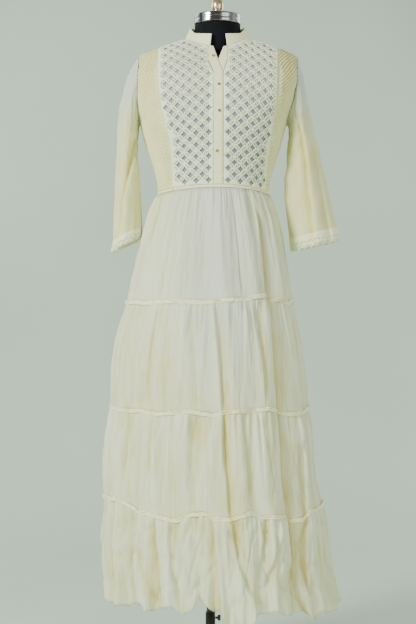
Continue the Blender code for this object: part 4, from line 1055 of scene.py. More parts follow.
def net_mesh(name, laid, outline):
    bm = bmesh.new()
    loops = [outline]
    for u, v in gap_places(laid.side):
        if all(inside(point, outline) for point in star(u, v, 1.18)):
            loops.append(star(u, v))
    edges = []
    for loop in loops:
        points = [bm.verts.new((u, v, 0.0011)) for u, v in loop]
        edges += [bm.edges.new(pair) for pair in zip(points, points[1:] + points[:1])]
    bmesh.ops.triangle_fill(bm, use_beauty=True, edges=edges, normal=(0.0, 0.0, 1.0))
    for _ in range(2):
        wide = [e for e in bm.edges if len(e.link_faces) == 2 and e.calc_length() > 0.009]
        bmesh.ops.subdivide_edges(bm, edges=wide, cuts=1)
        bmesh.ops.triangulate(bm, faces=bm.faces[:])
    bend_on(bm, laid)
    bm.normal_update()
    mesh = bpy.data.meshes.new(name)
    bm.to_mesh(mesh)
    bm.free()
    return mesh


def petal_mesh(length, width):
    """One lens-shaped leaf: a corded rim round a sunk net middle with a raised dot; the sunk middle takes the
    second finish, painted shade.
    """
    bm = bmesh.new()
    bmesh.ops.create_circle(bm, cap_ends=True, segments=14, radius=1.0)
    for vert in bm.verts:
        x = vert.co.x
        half = math.copysign((1.0 - x * x) ** 0.75, vert.co.y)
        vert.co = Vector((0.5 * length * x, 0.5 * width * half, 0.0))
    rings = (
        (0.97, 0.94, 0.0009), (0.84, 0.70, 0.0010), (0.77, 0.56, 0.0004), (0.20, 0.28, 0.0004),
        (0.9, 0.9, 0.0008),
    )
    bm.faces.ensure_lookup_table()
    face = bm.faces[0]
    across, rise = 1.0, 0.0
    for k, (sx, sy, z) in enumerate(rings):
        lid = face
        made = bmesh.ops.extrude_face_region(bm, geom=[lid], use_keep_orig=(k == 0))
        face = [f for f in made["geom"] if isinstance(f, bmesh.types.BMFace)][0]
        if k > 0 and lid.is_valid:
            bm.faces.remove(lid)
        for vert in face.verts:
            if k < 4:
                share = vert.co.x / (0.5 * length * across)
                vert.co.x = share * 0.5 * length * sx
                vert.co.y *= sy / rise if rise else sy
            else:
                vert.co.x *= sx
                vert.co.y *= sy
            vert.co.z = z
        # Painted shade: the faces round the sunk middle take the dark second finish.
        if k == 3:
            for edge in face.edges:
                for beside in edge.link_faces:
                    beside.material_index = 1
            face.material_index = 0
        across, rise = sx, sy
    bmesh.ops.recalc_face_normals(bm, faces=bm.faces)
    mesh = bpy.data.meshes.new("petal")
    bm.to_mesh(mesh)
    bm.free()
    return mesh


def scatter(copies, source):
    """One bmesh that holds a small mesh at each matrix."""
    bm = bmesh.new()
    for matrix in copies:
        before = len(bm.verts)
        bm.from_mesh(source)
        bm.verts.ensure_lookup_table()
        bmesh.ops.transform(bm, matrix=matrix, verts=bm.verts[before:])
    return bm


def petals_mesh(name, laid, outline):
    """Leaves between each two neighbouring gaps, laid over the net."""
    spots = []
    run = math.hypot(0.5 * GAP_PITCH_X, GAP_PITCH_V)
    for u, v in gap_places(laid.side):
        for way in (1.0, -1.0):
            centre = Vector((u + 0.25 * GAP_PITCH_X * way, v + 0.5 * GAP_PITCH_V, 0.0009))
            axis = Vector((-0.5 * GAP_PITCH_X * way, GAP_PITCH_V, 0.0)) / run
            ends = [centre + axis * 0.0078 * k for k in (-1.0, 0.0, 1.0)]
            if all(inside((p.x, p.y), outline) for p in ends):
                turn = Matrix.Rotation(math.atan2(axis.y, axis.x), 4, "Z")
                spots.append(Matrix.Translation(centre) @ turn)
    source = petal_mesh(0.0190, 0.0094)
    bm = scatter(spots, source)
    bend_on(bm, laid)
    bm.normal_update()
    mesh = bpy.data.meshes.new(name)
    bm.to_mesh(mesh)
    bm.free()
    bpy.data.meshes.remove(source)
    return mesh


# Bodice


def side_front_place(side, sizes):
    """A panel from the lace's edge to the side seam and armhole, with slanting pin tucks."""
    top_z = ridge_at(float(lace_x(side, 1.546)))
    bottom = float(waist_height(side * 60.0))

    def place(a, b):
        z = blend(bottom, ARM_HIGH, b)
        edge_z = blend(bottom, top_z, b)
        start = angle_past(lace_x(side, edge_z), edge_z, -0.0006 - 0.0100 * ease((b - 0.78) / 0.14))
        start = side * np.minimum(np.abs(start), FRONT_SEAM)
        end = np.where(z <= ARM_LOW, side * FRONT_SEAM, arm_angle(side, -1.0, np.minimum(z, ARM_HIGH)))
        angle = blend(start, end, a)
        height = blend(edge_z, z, a)
        height = height + (waist_top(angle) - bottom) * np.maximum(0.0, 1.0 - b / 0.08)
        base = ring_points(BODICE_SHAPE, angle, height)
        inner = ring_points(BODICE_SHAPE, start, edge_z)
        from_lace = np.linalg.norm(base - inner, axis=-1)
        across = from_lace * 1.05
        slant = (height * 0.72 - across * 0.69) / sizes.tuck_pitch
        step = slant - np.floor(slant)
        rise = np.where(step < 0.24, ease(step / 0.24), 1.0 - ease((step - 0.24) / 0.76))
        strip = ease((from_lace - 0.0100) / 0.004) * ease((1.0 - a) / 0.06) * ease(b / 0.015)
        wrinkle = soft_noise(6.0 * a + 3.0 * b, 14.0 * b, 80 + side)
        edge = np.exp(-0.5 * ((from_lace - 0.0098) / 0.0011) ** 2)
        low = ease((0.16 - b) / 0.16)
        under = ease((0.0110 - from_lace) / 0.003) * ease((b - 0.78) / 0.14)
        out = 0.0030 * rise * strip - 0.0009 - 0.0006 * under
        out = out + 0.0009 * wrinkle * ease(b / 0.05) + 0.0007 * edge
        out = out + 0.0016 * low * ease(b / 0.03) * soft_noise(26.0 * a, 3.0 * b, 90 + side)
        groove = strip * (np.exp(-0.5 * (step / 0.12) ** 2) + np.exp(-0.5 * ((step - 1.0) / 0.12) ** 2))
        # Painted light and shade: lighter on the tucks' ridges, darker in their grooves.
        shade = 0.60 + 0.60 * (rise - 0.45) * strip + 0.16 * wrinkle - 0.80 * groove
        return surface_points(BODICE_SHAPE, angle, height, out), shade

    return place


def back_place(a, b):
    """The back, from side seam and armhole to side seam and armhole, up to the neck."""
    bottom = SEAM_LINES[0][0] - 0.010
    z = np.where(b < 0.86, blend(bottom, ARM_HIGH, b / 0.86), blend(ARM_HIGH, 1.5660, (b - 0.86) / 0.14))
    hole = (z > ARM_LOW) & (z < ARM_HIGH)
    start = np.where(hole, arm_angle(1.0, 1.0, z), BACK_SEAM)
    end = 360.0 + np.where(hole, arm_angle(-1.0, 1.0, z), -BACK_SEAM)
    angle = blend(start, end, a)
    height = z + (waist_top(angle) - bottom) * np.maximum(0.0, 1.0 - b / 0.10)
    wrinkle = soft_noise(9.0 * a, 8.0 * b, 101)
    drag = soft_noise(16.0 * a + 5.0 * b, 3.0 * b, 103)
    dart = np.exp(-0.5 * ((a - 0.27) / 0.006) ** 2) + np.exp(-0.5 * ((a - 0.73) / 0.006) ** 2)
    dart = dart * ease((0.52 - b) / 0.25)
    middle = np.exp(-0.5 * ((a - 0.5) / 0.005) ** 2)
    held = ease(b / 0.03) * ease((1.0 - b) / 0.05)
    out = held * (0.0012 * wrinkle + 0.0010 * drag) - 0.0011 * dart - 0.0009 * middle * held
    low = ease((0.18 - b) / 0.18) * ease(b / 0.02)
    out = out + 0.0016 * low * soft_noise(60.0 * a, 2.0 * b, 107)
    # Painted shade: darker along the darts and the centre back line.
    shade = 0.52 + 0.10 * wrinkle + 0.06 * drag - 0.22 * dart - 0.15 * middle
    return surface_points(BODICE_SHAPE, angle, height, out), shade


def lining_place(side):
    """The sheer wall behind the lace, from the centre front to the lace's side seam."""
    centre = LINING_CENTRE[side]
    bottom = SEAM_LINES[0][0]
    line = [(float(along(centre, z)), z) for z in
            (bottom, 1.217, 1.236, 1.264, 1.294, 1.325, 1.356, 1.390, 1.425, 1.460, 1.496)]
    start = math.degrees(math.asin(abs(float(along(centre, 1.536))) / NECK_SIDE))
    for turn in (start, 40.0, 62.0, 88.0):
        x, z = neck_height(turn)
        line.append((side * x, z))
    share = np.linspace(0.0, 1.0, len(line))
    top = ridge_at(float(lace_x(side, 1.546)))

    def place(a, b):
        x = np.interp(b, share, [p[0] for p in line])
        z = np.interp(b, share, [p[1] for p in line])
        edge_z = blend(bottom, top, b ** 1.05)
        far = angle_past(lace_x(side, edge_z), edge_z, 0.0010)
        far = np.where(b > 0.97, blend(far, side * FRONT_SEAM, ease((b - 0.97) / 0.03)), far)
        near = angle_of(x, z)
        near = np.where(b > 0.97, blend(near, side * FRONT_SEAM, ease((b - 0.97) / 0.03)), near)
        angle = blend(near, far, a)
        height = blend(z, edge_z, a)
        height = height + (waist_top(angle) - bottom) * np.maximum(0.0, 1.0 - b / 0.05)
        return surface_points(BODICE_SHAPE, angle, height, -0.0018), 0.5 + 0.0 * a

    return place


def strip_place(edges, out, seed, lift=0.0):
    """A front strip between two edges, from the waist to the neckline, with small puckers."""

    def place(a, b):
        low = float(waist_top(0.0))
        level = blend(low, 1.536, b)
        x = blend(along(edges[0], level), along(edges[1], level), a)
        top = np.interp(x, [p[0] for p in NECKLINE], [p[1] for p in NECKLINE]) - 0.0002
        z = low + (level - low) * (top - low) / (1.536 - low)
        pucker = 0.0 * z
        for at in PUCKERS:
            wave = 0.0012 * np.sin(3.0 * a + 40.0 * at)
            pucker = pucker + np.exp(-0.5 * ((z - at - wave) / 0.0016) ** 2)
        ripple = soft_noise(2.0 * a, 60.0 * b, seed)
        rim = np.minimum(a, 1.0 - a)
        roll = ease(rim / 0.10)
        stitch = np.exp(-0.5 * ((rim - 0.13) / 0.025) ** 2)
        relief = 0.0006 * pucker + 0.0003 * ripple * roll - 0.00025 * stitch - 0.0005 * (1.0 - roll)
        height = out + lift * relief
        # Painted shade: darker along the stitch lines, in the puckers and at the rolled edges.
        shade = 0.55 + 0.04 * ripple - 0.16 * stitch - 0.10 * pucker - 0.10 * (1.0 - roll)
        return surface_points(BODICE_SHAPE, angle_of(x, z), z, height), shade

    return place


def collar_place(a, b):
    """The stand collar, from its right front corner round the back to its left one."""
    first = math.degrees(math.asin(0.0225 / NECK_SIDE))
    last = 360.0 + math.degrees(math.asin(-0.0175 / NECK_SIDE))
    degrees = blend(first, last, a)
    turn = np.radians(degrees)
    s = np.sin(turn)
    c = np.cos(turn)
    front = c > 0.0
    neck = np.interp(NECK_SIDE * s, [p[0] for p in NECKLINE], [p[1] for p in NECKLINE])
    base = np.where(front, neck, 1.5660) + 0.0006
    top = along(COLLAR_TOP, np.abs(turned_away(degrees, 0.0)))
    side = blend(NECK_SIDE, 0.0655, b)
    deep = np.where(front, blend(NECK_FRONT, 0.0645, b), blend(NECK_BACK, 0.0622, b))
    ripple = soft_noise(22.0 * a, 1.5 * b, 121)
    rim = np.minimum(b, 1.0 - b)
    puff = 0.0010 * ease(rim / 0.12) + 0.0005 * ripple
    stitch = np.exp(-0.5 * ((rim - 0.10) / 0.02) ** 2)
    puff = puff - 0.0002 * stitch
    z = blend(base, top, b)
    points = np.stack([CENTRE_X + (side + puff) * s, -(deep + puff) * c, z], axis=-1)
    # Painted shade: darker along the stitch lines.
    return points, 0.56 + 0.05 * ripple - 0.14 * stitch


def waist_place(a, b):
    """The narrow waist band with a piped edge above and below."""
    angle = 360.0 * a
    z = waist_height(angle) + WAIST_BAND * (b - 0.5)
    ripple = soft_noise(180.0 * a, 2.0 * b, 131, 180)
    profile = np.interp(b, (0.0, 0.10, 0.22, 0.34, 0.66, 0.78, 0.90, 1.0),
                        (0.0006, 0.0022, 0.0023, 0.0010, 0.0010, 0.0024, 0.0022, 0.0006))
    out = profile * (1.0 + 0.20 * ripple)
    # Painted light and shade: lighter on the raised piping, darker between the pipes.
    shade = 0.52 + 0.14 * ripple + 80.0 * (profile - 0.0016)
    return surface_points(BODICE_SHAPE, angle, z, out), shade


# Sleeves


def sleeve_rows(side, turns):
    """The sleeve's rings at the given turns, from the armhole to the cuff's edge."""
    table = SLEEVES[side]
    middle = 0.5 * (ARM_LOW + ARM_HIGH)
    reach = 0.5 * (ARM_HIGH - ARM_LOW)
    c = np.cos(turns)
    s = np.sin(turns)
    z = middle + reach * c
    back = arm_angle(side, 1.0, z)
    front = arm_angle(side, -1.0, z)
    angle = np.where(np.abs(s) < 1e-6, side * 90.0, np.where(s > 0.0, back, front))
    row = ring_points(BODICE_SHAPE, angle, z)
    row[:, 0] += side * 0.0012
    rows = [row]
    for i, (ox, oz, ix, iz, depth, shift) in enumerate(table):
        fold = SLEEVE_FOLD * (i / len(table)) * np.cos(5.0 * turns + 0.8 * side + 0.25 * i)
        x = CENTRE_X + 0.5 * (ox + ix) + (0.5 * (ox - ix) + side * fold) * c
        rows.append(np.stack([x, shift + (depth + fold) * s, 0.5 * (oz + iz) + 0.5 * (oz - iz) * c], axis=-1))
    return rows


def sleeve_base(side, a):
    """A smooth sleeve surface: row places run from 0 at the armhole to 7 at the cuff's edge."""
    turns = 2.0 * math.pi * a
    rows = sleeve_rows(side, turns)
    last = len(rows) - 1

    def at(place):
        k = np.clip(np.floor(place).astype(int), 0, last - 1)
        t = (place - k)[:, None]
        stack = np.array(rows)
        index = np.arange(len(a))
        p0 = stack[np.maximum(k - 1, 0), index]
        p1 = stack[k, index]
        p2 = stack[k + 1, index]
        p3 = stack[np.minimum(k + 2, last), index]
        m1 = 0.5 * (p2 - p0)
        m2 = 0.5 * (p3 - p1)
        start = (2 * t**3 - 3 * t**2 + 1) * p1 + (t**3 - 2 * t**2 + t) * m1
        return start + (3 * t**2 - 2 * t**3) * p2 + (t**3 - t**2) * m2

    return at


def sleeve_place(side, low, high, drop=0.0):
    """The placing function of a stretch of sleeve between two row places."""

    def place(a, b):
        row = blend(high, low, b)
        share = row / 7.0
        at = sleeve_base(side, a)
        here = at(row)
        near = sleeve_base(side, (a + 0.004) % 1.0)
        across = near(row) - here
        down = at(np.minimum(row + 0.02, 7.0)) - at(np.maximum(row - 0.02, 0.0))
        normal = np.cross(across, down)
        normal /= np.linalg.norm(normal, axis=-1, keepdims=True)
        centre = here.mean(axis=0)
        if np.sum(normal * (here - centre)) < 0.0:
            normal = -normal
        turn = 360.0 * a
        free = ease(share / 0.12)
        out = 0.0 * a
        dark = 0.0 * a
        for width, deep, lip, raised, line in SLEEVE_CREASES[side]:
            away = -raised * turned_away(turn, along(line, share)) / width
            run = ease((share - line[0][0]) / 0.10 + 0.3)
            run = run * (1.0 if line[-1][0] > 0.99 else ease((line[-1][0] - share) / 0.10 + 0.3))
            sunk = 0.5 + 0.5 * np.tanh(2.6 * away)
            lifted = (1.0 - sunk) * np.exp(-0.5 * (away / 3.6) ** 2)
            core = sunk * np.exp(-0.5 * (away / 1.7) ** 2)
            out = out + run * (lip * lifted - deep * core)
            dark = np.maximum(dark, run * core * deep / 0.006)
        drag = soft_noise(12.0 * a + 5.0 * share, 16.0 * share, 141 + side, 12)
        small = soft_noise(40.0 * a, 26.0 * share, 143 + side, 40)
        head = ease((0.14 - share) / 0.14) * ease(share / 0.01)
        pleat = soft_noise(56.0 * a, 1.5 * share, 147 + side, 56)
        bend = np.exp(-0.5 * ((share - 0.50) / 0.10) ** 2)
        out = out + free * (0.0012 * drag * (1.0 + bend) + 0.0006 * small) + 0.0012 * head * pleat
        # Painted light and shade: darker and warmer in the creases' cores, lighter and darker with the drag and
        # the head's pleats.
        shade = 0.50 - 0.40 * dark + 0.10 * drag + 0.05 * small + 0.08 * head * pleat
        points = here + normal * out[:, None]
        points[:, 2] -= drop
        return points, shade

    return place


def cuff_place(side):
    """The cuff band with a scalloped edge."""
    base = sleeve_place(side, 5.93, 7.0, 0.0005)

    def place(a, b):
        points, shade = base(a, b)
        middle = points.mean(axis=0)
        flat = points[:, :2] - middle[:2]
        points[:, :2] += flat / np.linalg.norm(flat, axis=1, keepdims=True) * 0.0009
        scallop = np.abs(np.sin(math.pi * 22.0 * a))
        points[:, 2] += (1.0 - ease(b / 0.30)) * (0.0024 - 0.0040 * scallop)
        # Painted shade from the sleeve's creases, weakened.
        return points, shade * 0.4 + 0.36

    return place


def stitch_mesh(name, points, outs, length, wide):
    """A row of short stitches along a line of points, each laid against the cloth."""
    bm = bmesh.new()
    bmesh.ops.create_cube(bm, size=1.0)
    bmesh.ops.bevel(bm, geom=bm.edges[:], offset=0.22, segments=1, profile=0.5, affect="EDGES", material=-1)
    unit = bpy.data.meshes.new("stitch")
    bm.to_mesh(unit)
    bm.free()
    spots = []
    for k in range(len(points) - 1):
        way = Vector(points[k + 1] - points[k])
        if way.length < 1e-6:
            continue
        side = Vector(outs[k]).normalized()
        way.normalize()
        up = side.cross(way).normalized()
        turn = Matrix((way, up, side)).transposed().to_4x4()
        size = Matrix.Diagonal((length, wide, wide * 0.7, 1.0))
        spots.append(Matrix.Translation(Vector(points[k])) @ turn @ size)
    bm = scatter(spots, unit)
    mesh = bpy.data.meshes.new(name)
    bm.to_mesh(mesh)
    bm.free()
    bpy.data.meshes.remove(unit)
    return mesh


def spaced(points, step):
    """Points at even steps along a line."""
    length = np.concatenate(([0.0], np.cumsum(np.linalg.norm(np.diff(points, axis=0), axis=1))))
    at = np.arange(0.0, length[-1], step)
    return np.stack([np.interp(at, length, points[:, k]) for k in range(3)], axis=-1)


def surface_stitches(name, shape, angle, z, out, step, length, wide):
    """Stitches on the bodice or skirt along a line of angles and heights."""
    here = surface_points(shape, angle, z, out)
    off = surface_points(shape, angle, z, np.asarray(out) + 0.01)
    line = spaced(here, step)
    outs = spaced(off, step * np.linalg.norm(np.diff(off, axis=0), axis=1).sum()
                  / max(1e-9, np.linalg.norm(np.diff(here, axis=0), axis=1).sum()))
    count = min(len(line), len(outs))
    return stitch_mesh(name, line[:count], outs[:count] - line[:count], length, wide)


# Form and stand


def form_place(a, b):
    z = blend(0.8700, 1.6020, b)
    half, front, back, mid = [np.interp(z, FORM_SHAPE[0], c) for c in FORM_SHAPE[1]]
    turn = 2.0 * math.pi * a
    s = np.sin(turn)
    c = np.cos(turn)
    x = half * s
    y = -np.where(c > 0.0, front, back) * c
    reach = np.hypot(x, y)
    nx = x / reach
    ny = y / reach
    throat = np.where(c > 0.0, FORM_NECK[1], FORM_NECK[2])
    neck = 1.0 / np.hypot(nx / FORM_NECK[0], ny / throat)
    reach = np.where(z > FORM_NECK_LOW, (reach ** 14 + neck ** 14) ** (1.0 / 14.0), reach)
    degrees = 360.0 * a
    seam = 0.0 * a
    for at in (0.0, 90.0, 180.0, 270.0, 38.0, 322.0, 142.0, 218.0):
        seam = seam + np.exp(-0.5 * (turned_away(degrees, at) / 0.7) ** 2)
    reach = reach - 0.0010 - 0.0007 * seam * (z < 1.59)
    return np.stack([mid + reach * nx, reach * ny, z], axis=-1), 0.5 - 0.3 * seam


def turned_mesh(name, profile, steps=64):
    """A turned shape from a profile of radius and height."""
    bm = bmesh.new()
    points = [bm.verts.new((r, 0.0, z)) for r, z in profile]
    edges = [bm.edges.new(pair) for pair in zip(points, points[1:])]
    bmesh.ops.spin(
        bm, geom=points + edges, cent=(0.0, 0.0, 0.0), axis=(0.0, 0.0, 1.0), angle=2.0 * math.pi,
        steps=steps, use_merge=True, use_duplicate=False,
    )
    bmesh.ops.remove_doubles(bm, verts=bm.verts, dist=0.00001)
    bmesh.ops.recalc_face_normals(bm, faces=bm.faces)
    mesh = bpy.data.meshes.new(name)
    bm.to_mesh(mesh)
    bm.free()
    return mesh


def rounded(profile, radius=0.0008):
    """A profile with its corners cut by small arcs."""
    out = [profile[0]]
    for before, at, after in zip(profile, profile[1:], profile[2:]):
        a = Vector(before) - Vector(at)
        b = Vector(after) - Vector(at)
        reach = min(radius, 0.4 * a.length, 0.4 * b.length)
        start = Vector(at) + a.normalized() * reach
        end = Vector(at) + b.normalized() * reach
        for t in (0.0, 0.5, 1.0):
            first = start.lerp(Vector(at), t)
            second = Vector(at).lerp(end, t)
            out.append(tuple(first.lerp(second, t)))
    out.append(profile[-1])
    return out


def moved(mesh, matrix):
    mesh.transform(matrix)
    return mesh


# Properties, operators and panel


class GownSizes(bpy.types.PropertyGroup):
    gather_depth: bpy.props.FloatProperty(
        name="Gather depth", description="Height of the small gathers under each seam", default=0.0032,
        min=0.0, max=0.006, precision=4, subtype="DISTANCE", unit="LENGTH",
    )
    tuck_pitch: bpy.props.FloatProperty(
        name="Tuck pitch", description="Distance between the pin tucks of the side fronts", default=0.0070,
        min=0.003, max=0.02, precision=4, subtype="DISTANCE", unit="LENGTH",
    )
    cloth_thick: bpy.props.FloatProperty(
        name="Cloth thickness", description="Thickness of the skirt and sleeve cloth", default=0.0007,
        min=0.0003, max=0.002, precision=4, subtype="DISTANCE", unit="LENGTH",
    )
    gauze_cover: bpy.props.FloatProperty(
        name="Gauze cover", description="How much of what is behind it one side of the skirt cloth hides",
        default=0.75, min=0.3, max=1.0, subtype="FACTOR",
    )


class GownColours(bpy.types.PropertyGroup):
    skirt: bpy.props.FloatVectorProperty(
        name="Skirt", description="Sheer skirt cotton", subtype="COLOR", size=3, min=0.0, max=1.0,
        default=(0.84, 0.87, 0.53),
    )
    sleeve: bpy.props.FloatVectorProperty(
        name="Sleeves", description="Sheer sleeve cotton", subtype="COLOR", size=3, min=0.0, max=1.0,
        default=(0.86, 0.87, 0.46),
    )
    cream: bpy.props.FloatVectorProperty(
        name="Bodice", description="Cream cotton of the bodice, collar and strips", subtype="COLOR", size=3,
        min=0.0, max=1.0, default=(0.86, 0.86, 0.50),
    )
    lace: bpy.props.FloatVectorProperty(
        name="Lace", description="White thread of the lace and cuffs", subtype="COLOR", size=3,
        min=0.0, max=1.0, default=(0.88, 0.93, 0.64),
    )
    cord: bpy.props.FloatVectorProperty(
        name="Seam cords", description="Gathered headings on the seams", subtype="COLOR", size=3,
        min=0.0, max=1.0, default=(0.82, 0.79, 0.66),
    )
    lining: bpy.props.FloatVectorProperty(
        name="Lining", description="Sheer lining over the black form", subtype="COLOR", size=3,
        min=0.0, max=1.0, default=(0.28, 0.32, 0.34),
    )
    button: bpy.props.FloatVectorProperty(
        name="Buttons", description="Olive brown horn", subtype="COLOR", size=3, min=0.0, max=1.0,
        default=(0.16, 0.11, 0.05),
    )
    form: bpy.props.FloatVectorProperty(
        name="Form", description="Black jersey over the form", subtype="COLOR", size=3, min=0.0, max=1.0,
        default=(0.005, 0.006, 0.007),
    )


class GOWN_OT_skirt(bpy.types.Operator):
    """Builds the four gathered tiers"""

    bl_idname = "gown.skirt"
    bl_label = "Skirt tiers"

    def execute(self, context):
        sizes = context.scene.gown_sizes
        cuts = ((1.20, 0.275), (1.55, 0.256), (1.75, 0.236), (2.00, 0.245))
        for tier, cut in enumerate(cuts):
            name = "tier_%d_cloth" % (tier + 1)
            mesh = lay_cloth(name, 860, 26 if tier == 3 else 22, tier_place(tier, sizes), cut, wrap=True)
            piece = add_piece(name, mesh, [skin_of("gauze")], ["skirt_tier_%d" % (tier + 1)])
            thicken(piece, sizes.cloth_thick)
        return {"FINISHED"}


class GOWN_OT_headings(bpy.types.Operator):
    """Builds the gathered cords on the seams between the tiers"""

    bl_idname = "gown.headings"
    bl_label = "Seam headings"

    def execute(self, context):
        for line in (1, 2, 3):
            name = "seam_heading_%d" % line
            mesh = lay_cloth(name, 600, 9, heading_place(line), (1.6, 0.0105), wrap=True)
            piece = add_piece(name, mesh, [skin_of("cream cotton")])
            thicken(piece, 0.0005)
        return {"FINISHED"}


class GOWN_OT_lace(bpy.types.Operator):
    """Builds the lace net with its star gaps, and the corded leaves on it"""

    bl_idname = "gown.lace"
    bl_label = "Lace front"

    def execute(self, context):
        for side, word in ((-1, "left"), (1, "right")):
            laid = FlatFront(side)
            outline = lace_outline(laid)
            net = add_piece(
                "lace_net_" + word, net_mesh("lace_net_" + word, laid, outline), [skin_of("white lace")],
                ["lace_panel_" + word],
            )
            thicken(net, 0.0010)
            leaves = add_piece(
                "lace_leaves_" + word, petals_mesh("lace_leaves_" + word, laid, outline),
                [skin_of("white lace"), skin_of("net middle painted shade")], smooth=False,
            )
        return {"FINISHED"}


class GOWN_OT_lining(bpy.types.Operator):
    """Builds the sheer lining behind the lace"""

    bl_idname = "gown.lining"
    bl_label = "Lining"

    def execute(self, context):
        for side, word in ((-1, "left"), (1, "right")):
            name = "lining_cloth_" + word
            mesh = lay_cloth(name, 30, 70, lining_place(side), (0.15, 0.36))
            piece = add_piece(name, mesh, [skin_of("lining voile")], ["lining_" + word])
            thicken(piece, 0.0006)
        return {"FINISHED"}


class GOWN_OT_side_fronts(bpy.types.Operator):
    """Builds the pin-tucked side fronts"""

    bl_idname = "gown.side_fronts"
    bl_label = "Side fronts"

    def execute(self, context):
        sizes = context.scene.gown_sizes
        for side, word in ((-1, "left"), (1, "right")):
            name = "side_front_cloth_" + word
            mesh = lay_cloth(name, 52, 190, side_front_place(side, sizes), (0.11, 0.34))
            piece = add_piece(name, mesh, [skin_of("tucked cotton painted shade")], ["side_front_" + word])
            thicken(piece, 0.0009)
        return {"FINISHED"}


class GOWN_OT_back(bpy.types.Operator):
    """Builds the bodice's back"""

    bl_idname = "gown.back"
    bl_label = "Back"

    def execute(self, context):
        mesh = lay_cloth("back_cloth", 120, 80, back_place, (0.46, 0.39))
        piece = add_piece("back_cloth", mesh, [skin_of("cream cotton")], ["back_bodice"])
        thicken(piece, 0.0009)
        return {"FINISHED"}


class GOWN_OT_strips(bpy.types.Operator):
    """Builds the front strips with their puckers and stitching"""

    bl_idname = "gown.strips"
    bl_label = "Front strips"

    def execute(self, context):
        strips = (("under", UNDER_EDGES, 0.0011, 0.5), ("over", OVER_EDGES, 0.0028, 1.0))
        for word, edges, out, lift in strips:
            name = "strip_" + word
            mesh = lay_cloth(name, 14, 170, strip_place(edges, out, 151, lift), (0.02, 0.34))
            piece = add_piece(name, mesh, [skin_of("cream cotton")], ["placket_" + word])
            thicken(piece, 0.0010)
        b = np.linspace(0.01, 0.985, 300)
        for word, a in (("near", 0.13), ("far", 0.87)):
            points, _ = strip_place(OVER_EDGES, 0.00285, 151, 1.0)(a + 0.0 * b, b)
            off, _ = strip_place(OVER_EDGES, 0.0128, 151, 1.0)(a + 0.0 * b, b)
            line = spaced(points, 0.0027)
            here = np.linspace(0, 1, len(line))
            there = np.linspace(0, 1, len(off))
            outs = np.stack([np.interp(here, there, (off - points)[:, k]) for k in range(3)], axis=-1)
            mesh = stitch_mesh("strip_stitches_" + word, line, outs, 0.0019, 0.0004)
            add_piece("strip_stitches_" + word, mesh, [skin_of("stitching")])
        return {"FINISHED"}


class GOWN_OT_buttons(bpy.types.Operator):
    """Builds the four small buttons, each sewn through its holes"""

    bl_idname = "gown.buttons"
    bl_label = "Buttons"

    def execute(self, context):
        profile = ((0.0, 0.0012), (0.0019, 0.0012), (0.0023, 0.0021), (0.0028, 0.0022), (0.0033, 0.0014),
                   (0.0033, 0.0002), (0.0028, 0.0), (0.0, 0.0))
        for number, (x, z) in enumerate(BUTTONS, 1):
            place = (np.array(x), np.array(z))
            angle = angle_of(*place)
            base = Vector(surface_points(BODICE_SHAPE, angle, place[1], 0.0033))
            out = (Vector(surface_points(BODICE_SHAPE, angle, place[1], 0.0133)) - base).normalized()
            turn = Vector((0.0, 0.0, 1.0)).rotation_difference(out).to_matrix().to_4x4()
            at = Matrix.Translation(base) @ turn
            mesh = moved(turned_mesh("button_cap_%d" % number, rounded(profile, 0.0003), 28), at)
            add_piece("button_cap_%d" % number, mesh, [skin_of("horn")], ["button_%d" % number])
            spots = []
            for tilt in (45.0, 135.0):
                spin = Matrix.Rotation(math.radians(tilt), 4, "Z")
                lift = Matrix.Translation((0.0, 0.0, 0.0013))
                spots.append(at @ lift @ spin @ Matrix.Diagonal((0.0024, 0.0005, 0.0005, 1.0)))
            bm = bmesh.new()
            bmesh.ops.create_cube(bm, size=1.0)
            bmesh.ops.bevel(bm, geom=bm.edges[:], offset=0.2, segments=2, profile=0.5, affect="EDGES",
                            material=-1)
            unit = bpy.data.meshes.new("thread")
            bm.to_mesh(unit)
            bm.free()
            bm = scatter(spots, unit)
            mesh = bpy.data.meshes.new("button_thread_%d" % number)
            bm.to_mesh(mesh)
            bm.free()
            add_piece("button_thread_%d" % number, mesh, [skin_of("stitching")])
        return {"FINISHED"}


class GOWN_OT_collar(bpy.types.Operator):
    """Builds the stand collar"""

    bl_idname = "gown.collar"
    bl_label = "Collar"

    def execute(self, context):
        mesh = lay_cloth("collar_band", 180, 18, collar_place, (0.40, 0.035))
        piece = add_piece("collar_band", mesh, [skin_of("cream cotton")], ["collar"])
        thicken(piece, 0.0016)
        return {"FINISHED"}


class GOWN_OT_waist(bpy.types.Operator):
    """Builds the waist band, and a short ochre mark of stitch shapes at its left end, painted shade of a small
    fold
    """

    bl_idname = "gown.waist"
    bl_label = "Waist band"

    def execute(self, context):
        mesh = lay_cloth("waist_piping", 480, 9, waist_place, (0.80, 0.0075), wrap=True)
        piece = add_piece("waist_piping", mesh, [skin_of("cream cotton")], ["waist_band"])
        thicken(piece, 0.0010)
        # Painted shade: short ochre stitch shapes where a small fold's shade lies at the band's left end.
        b = np.linspace(0.0, 1.0, 8)
        angle = -47.5 + 1.2 * np.sin(3.0 * b)
        z = waist_height(angle) + 0.0035 - 0.010 * b
        out = 0.0026 + 0.0 * b
        mesh = surface_stitches("waist_fold_painted_shade", BODICE_SHAPE, angle, z, out, 0.0017, 0.0020, 0.0009)
        add_piece("waist_fold_painted_shade", mesh, [skin_of("ochre painted shade")])
        return {"FINISHED"}


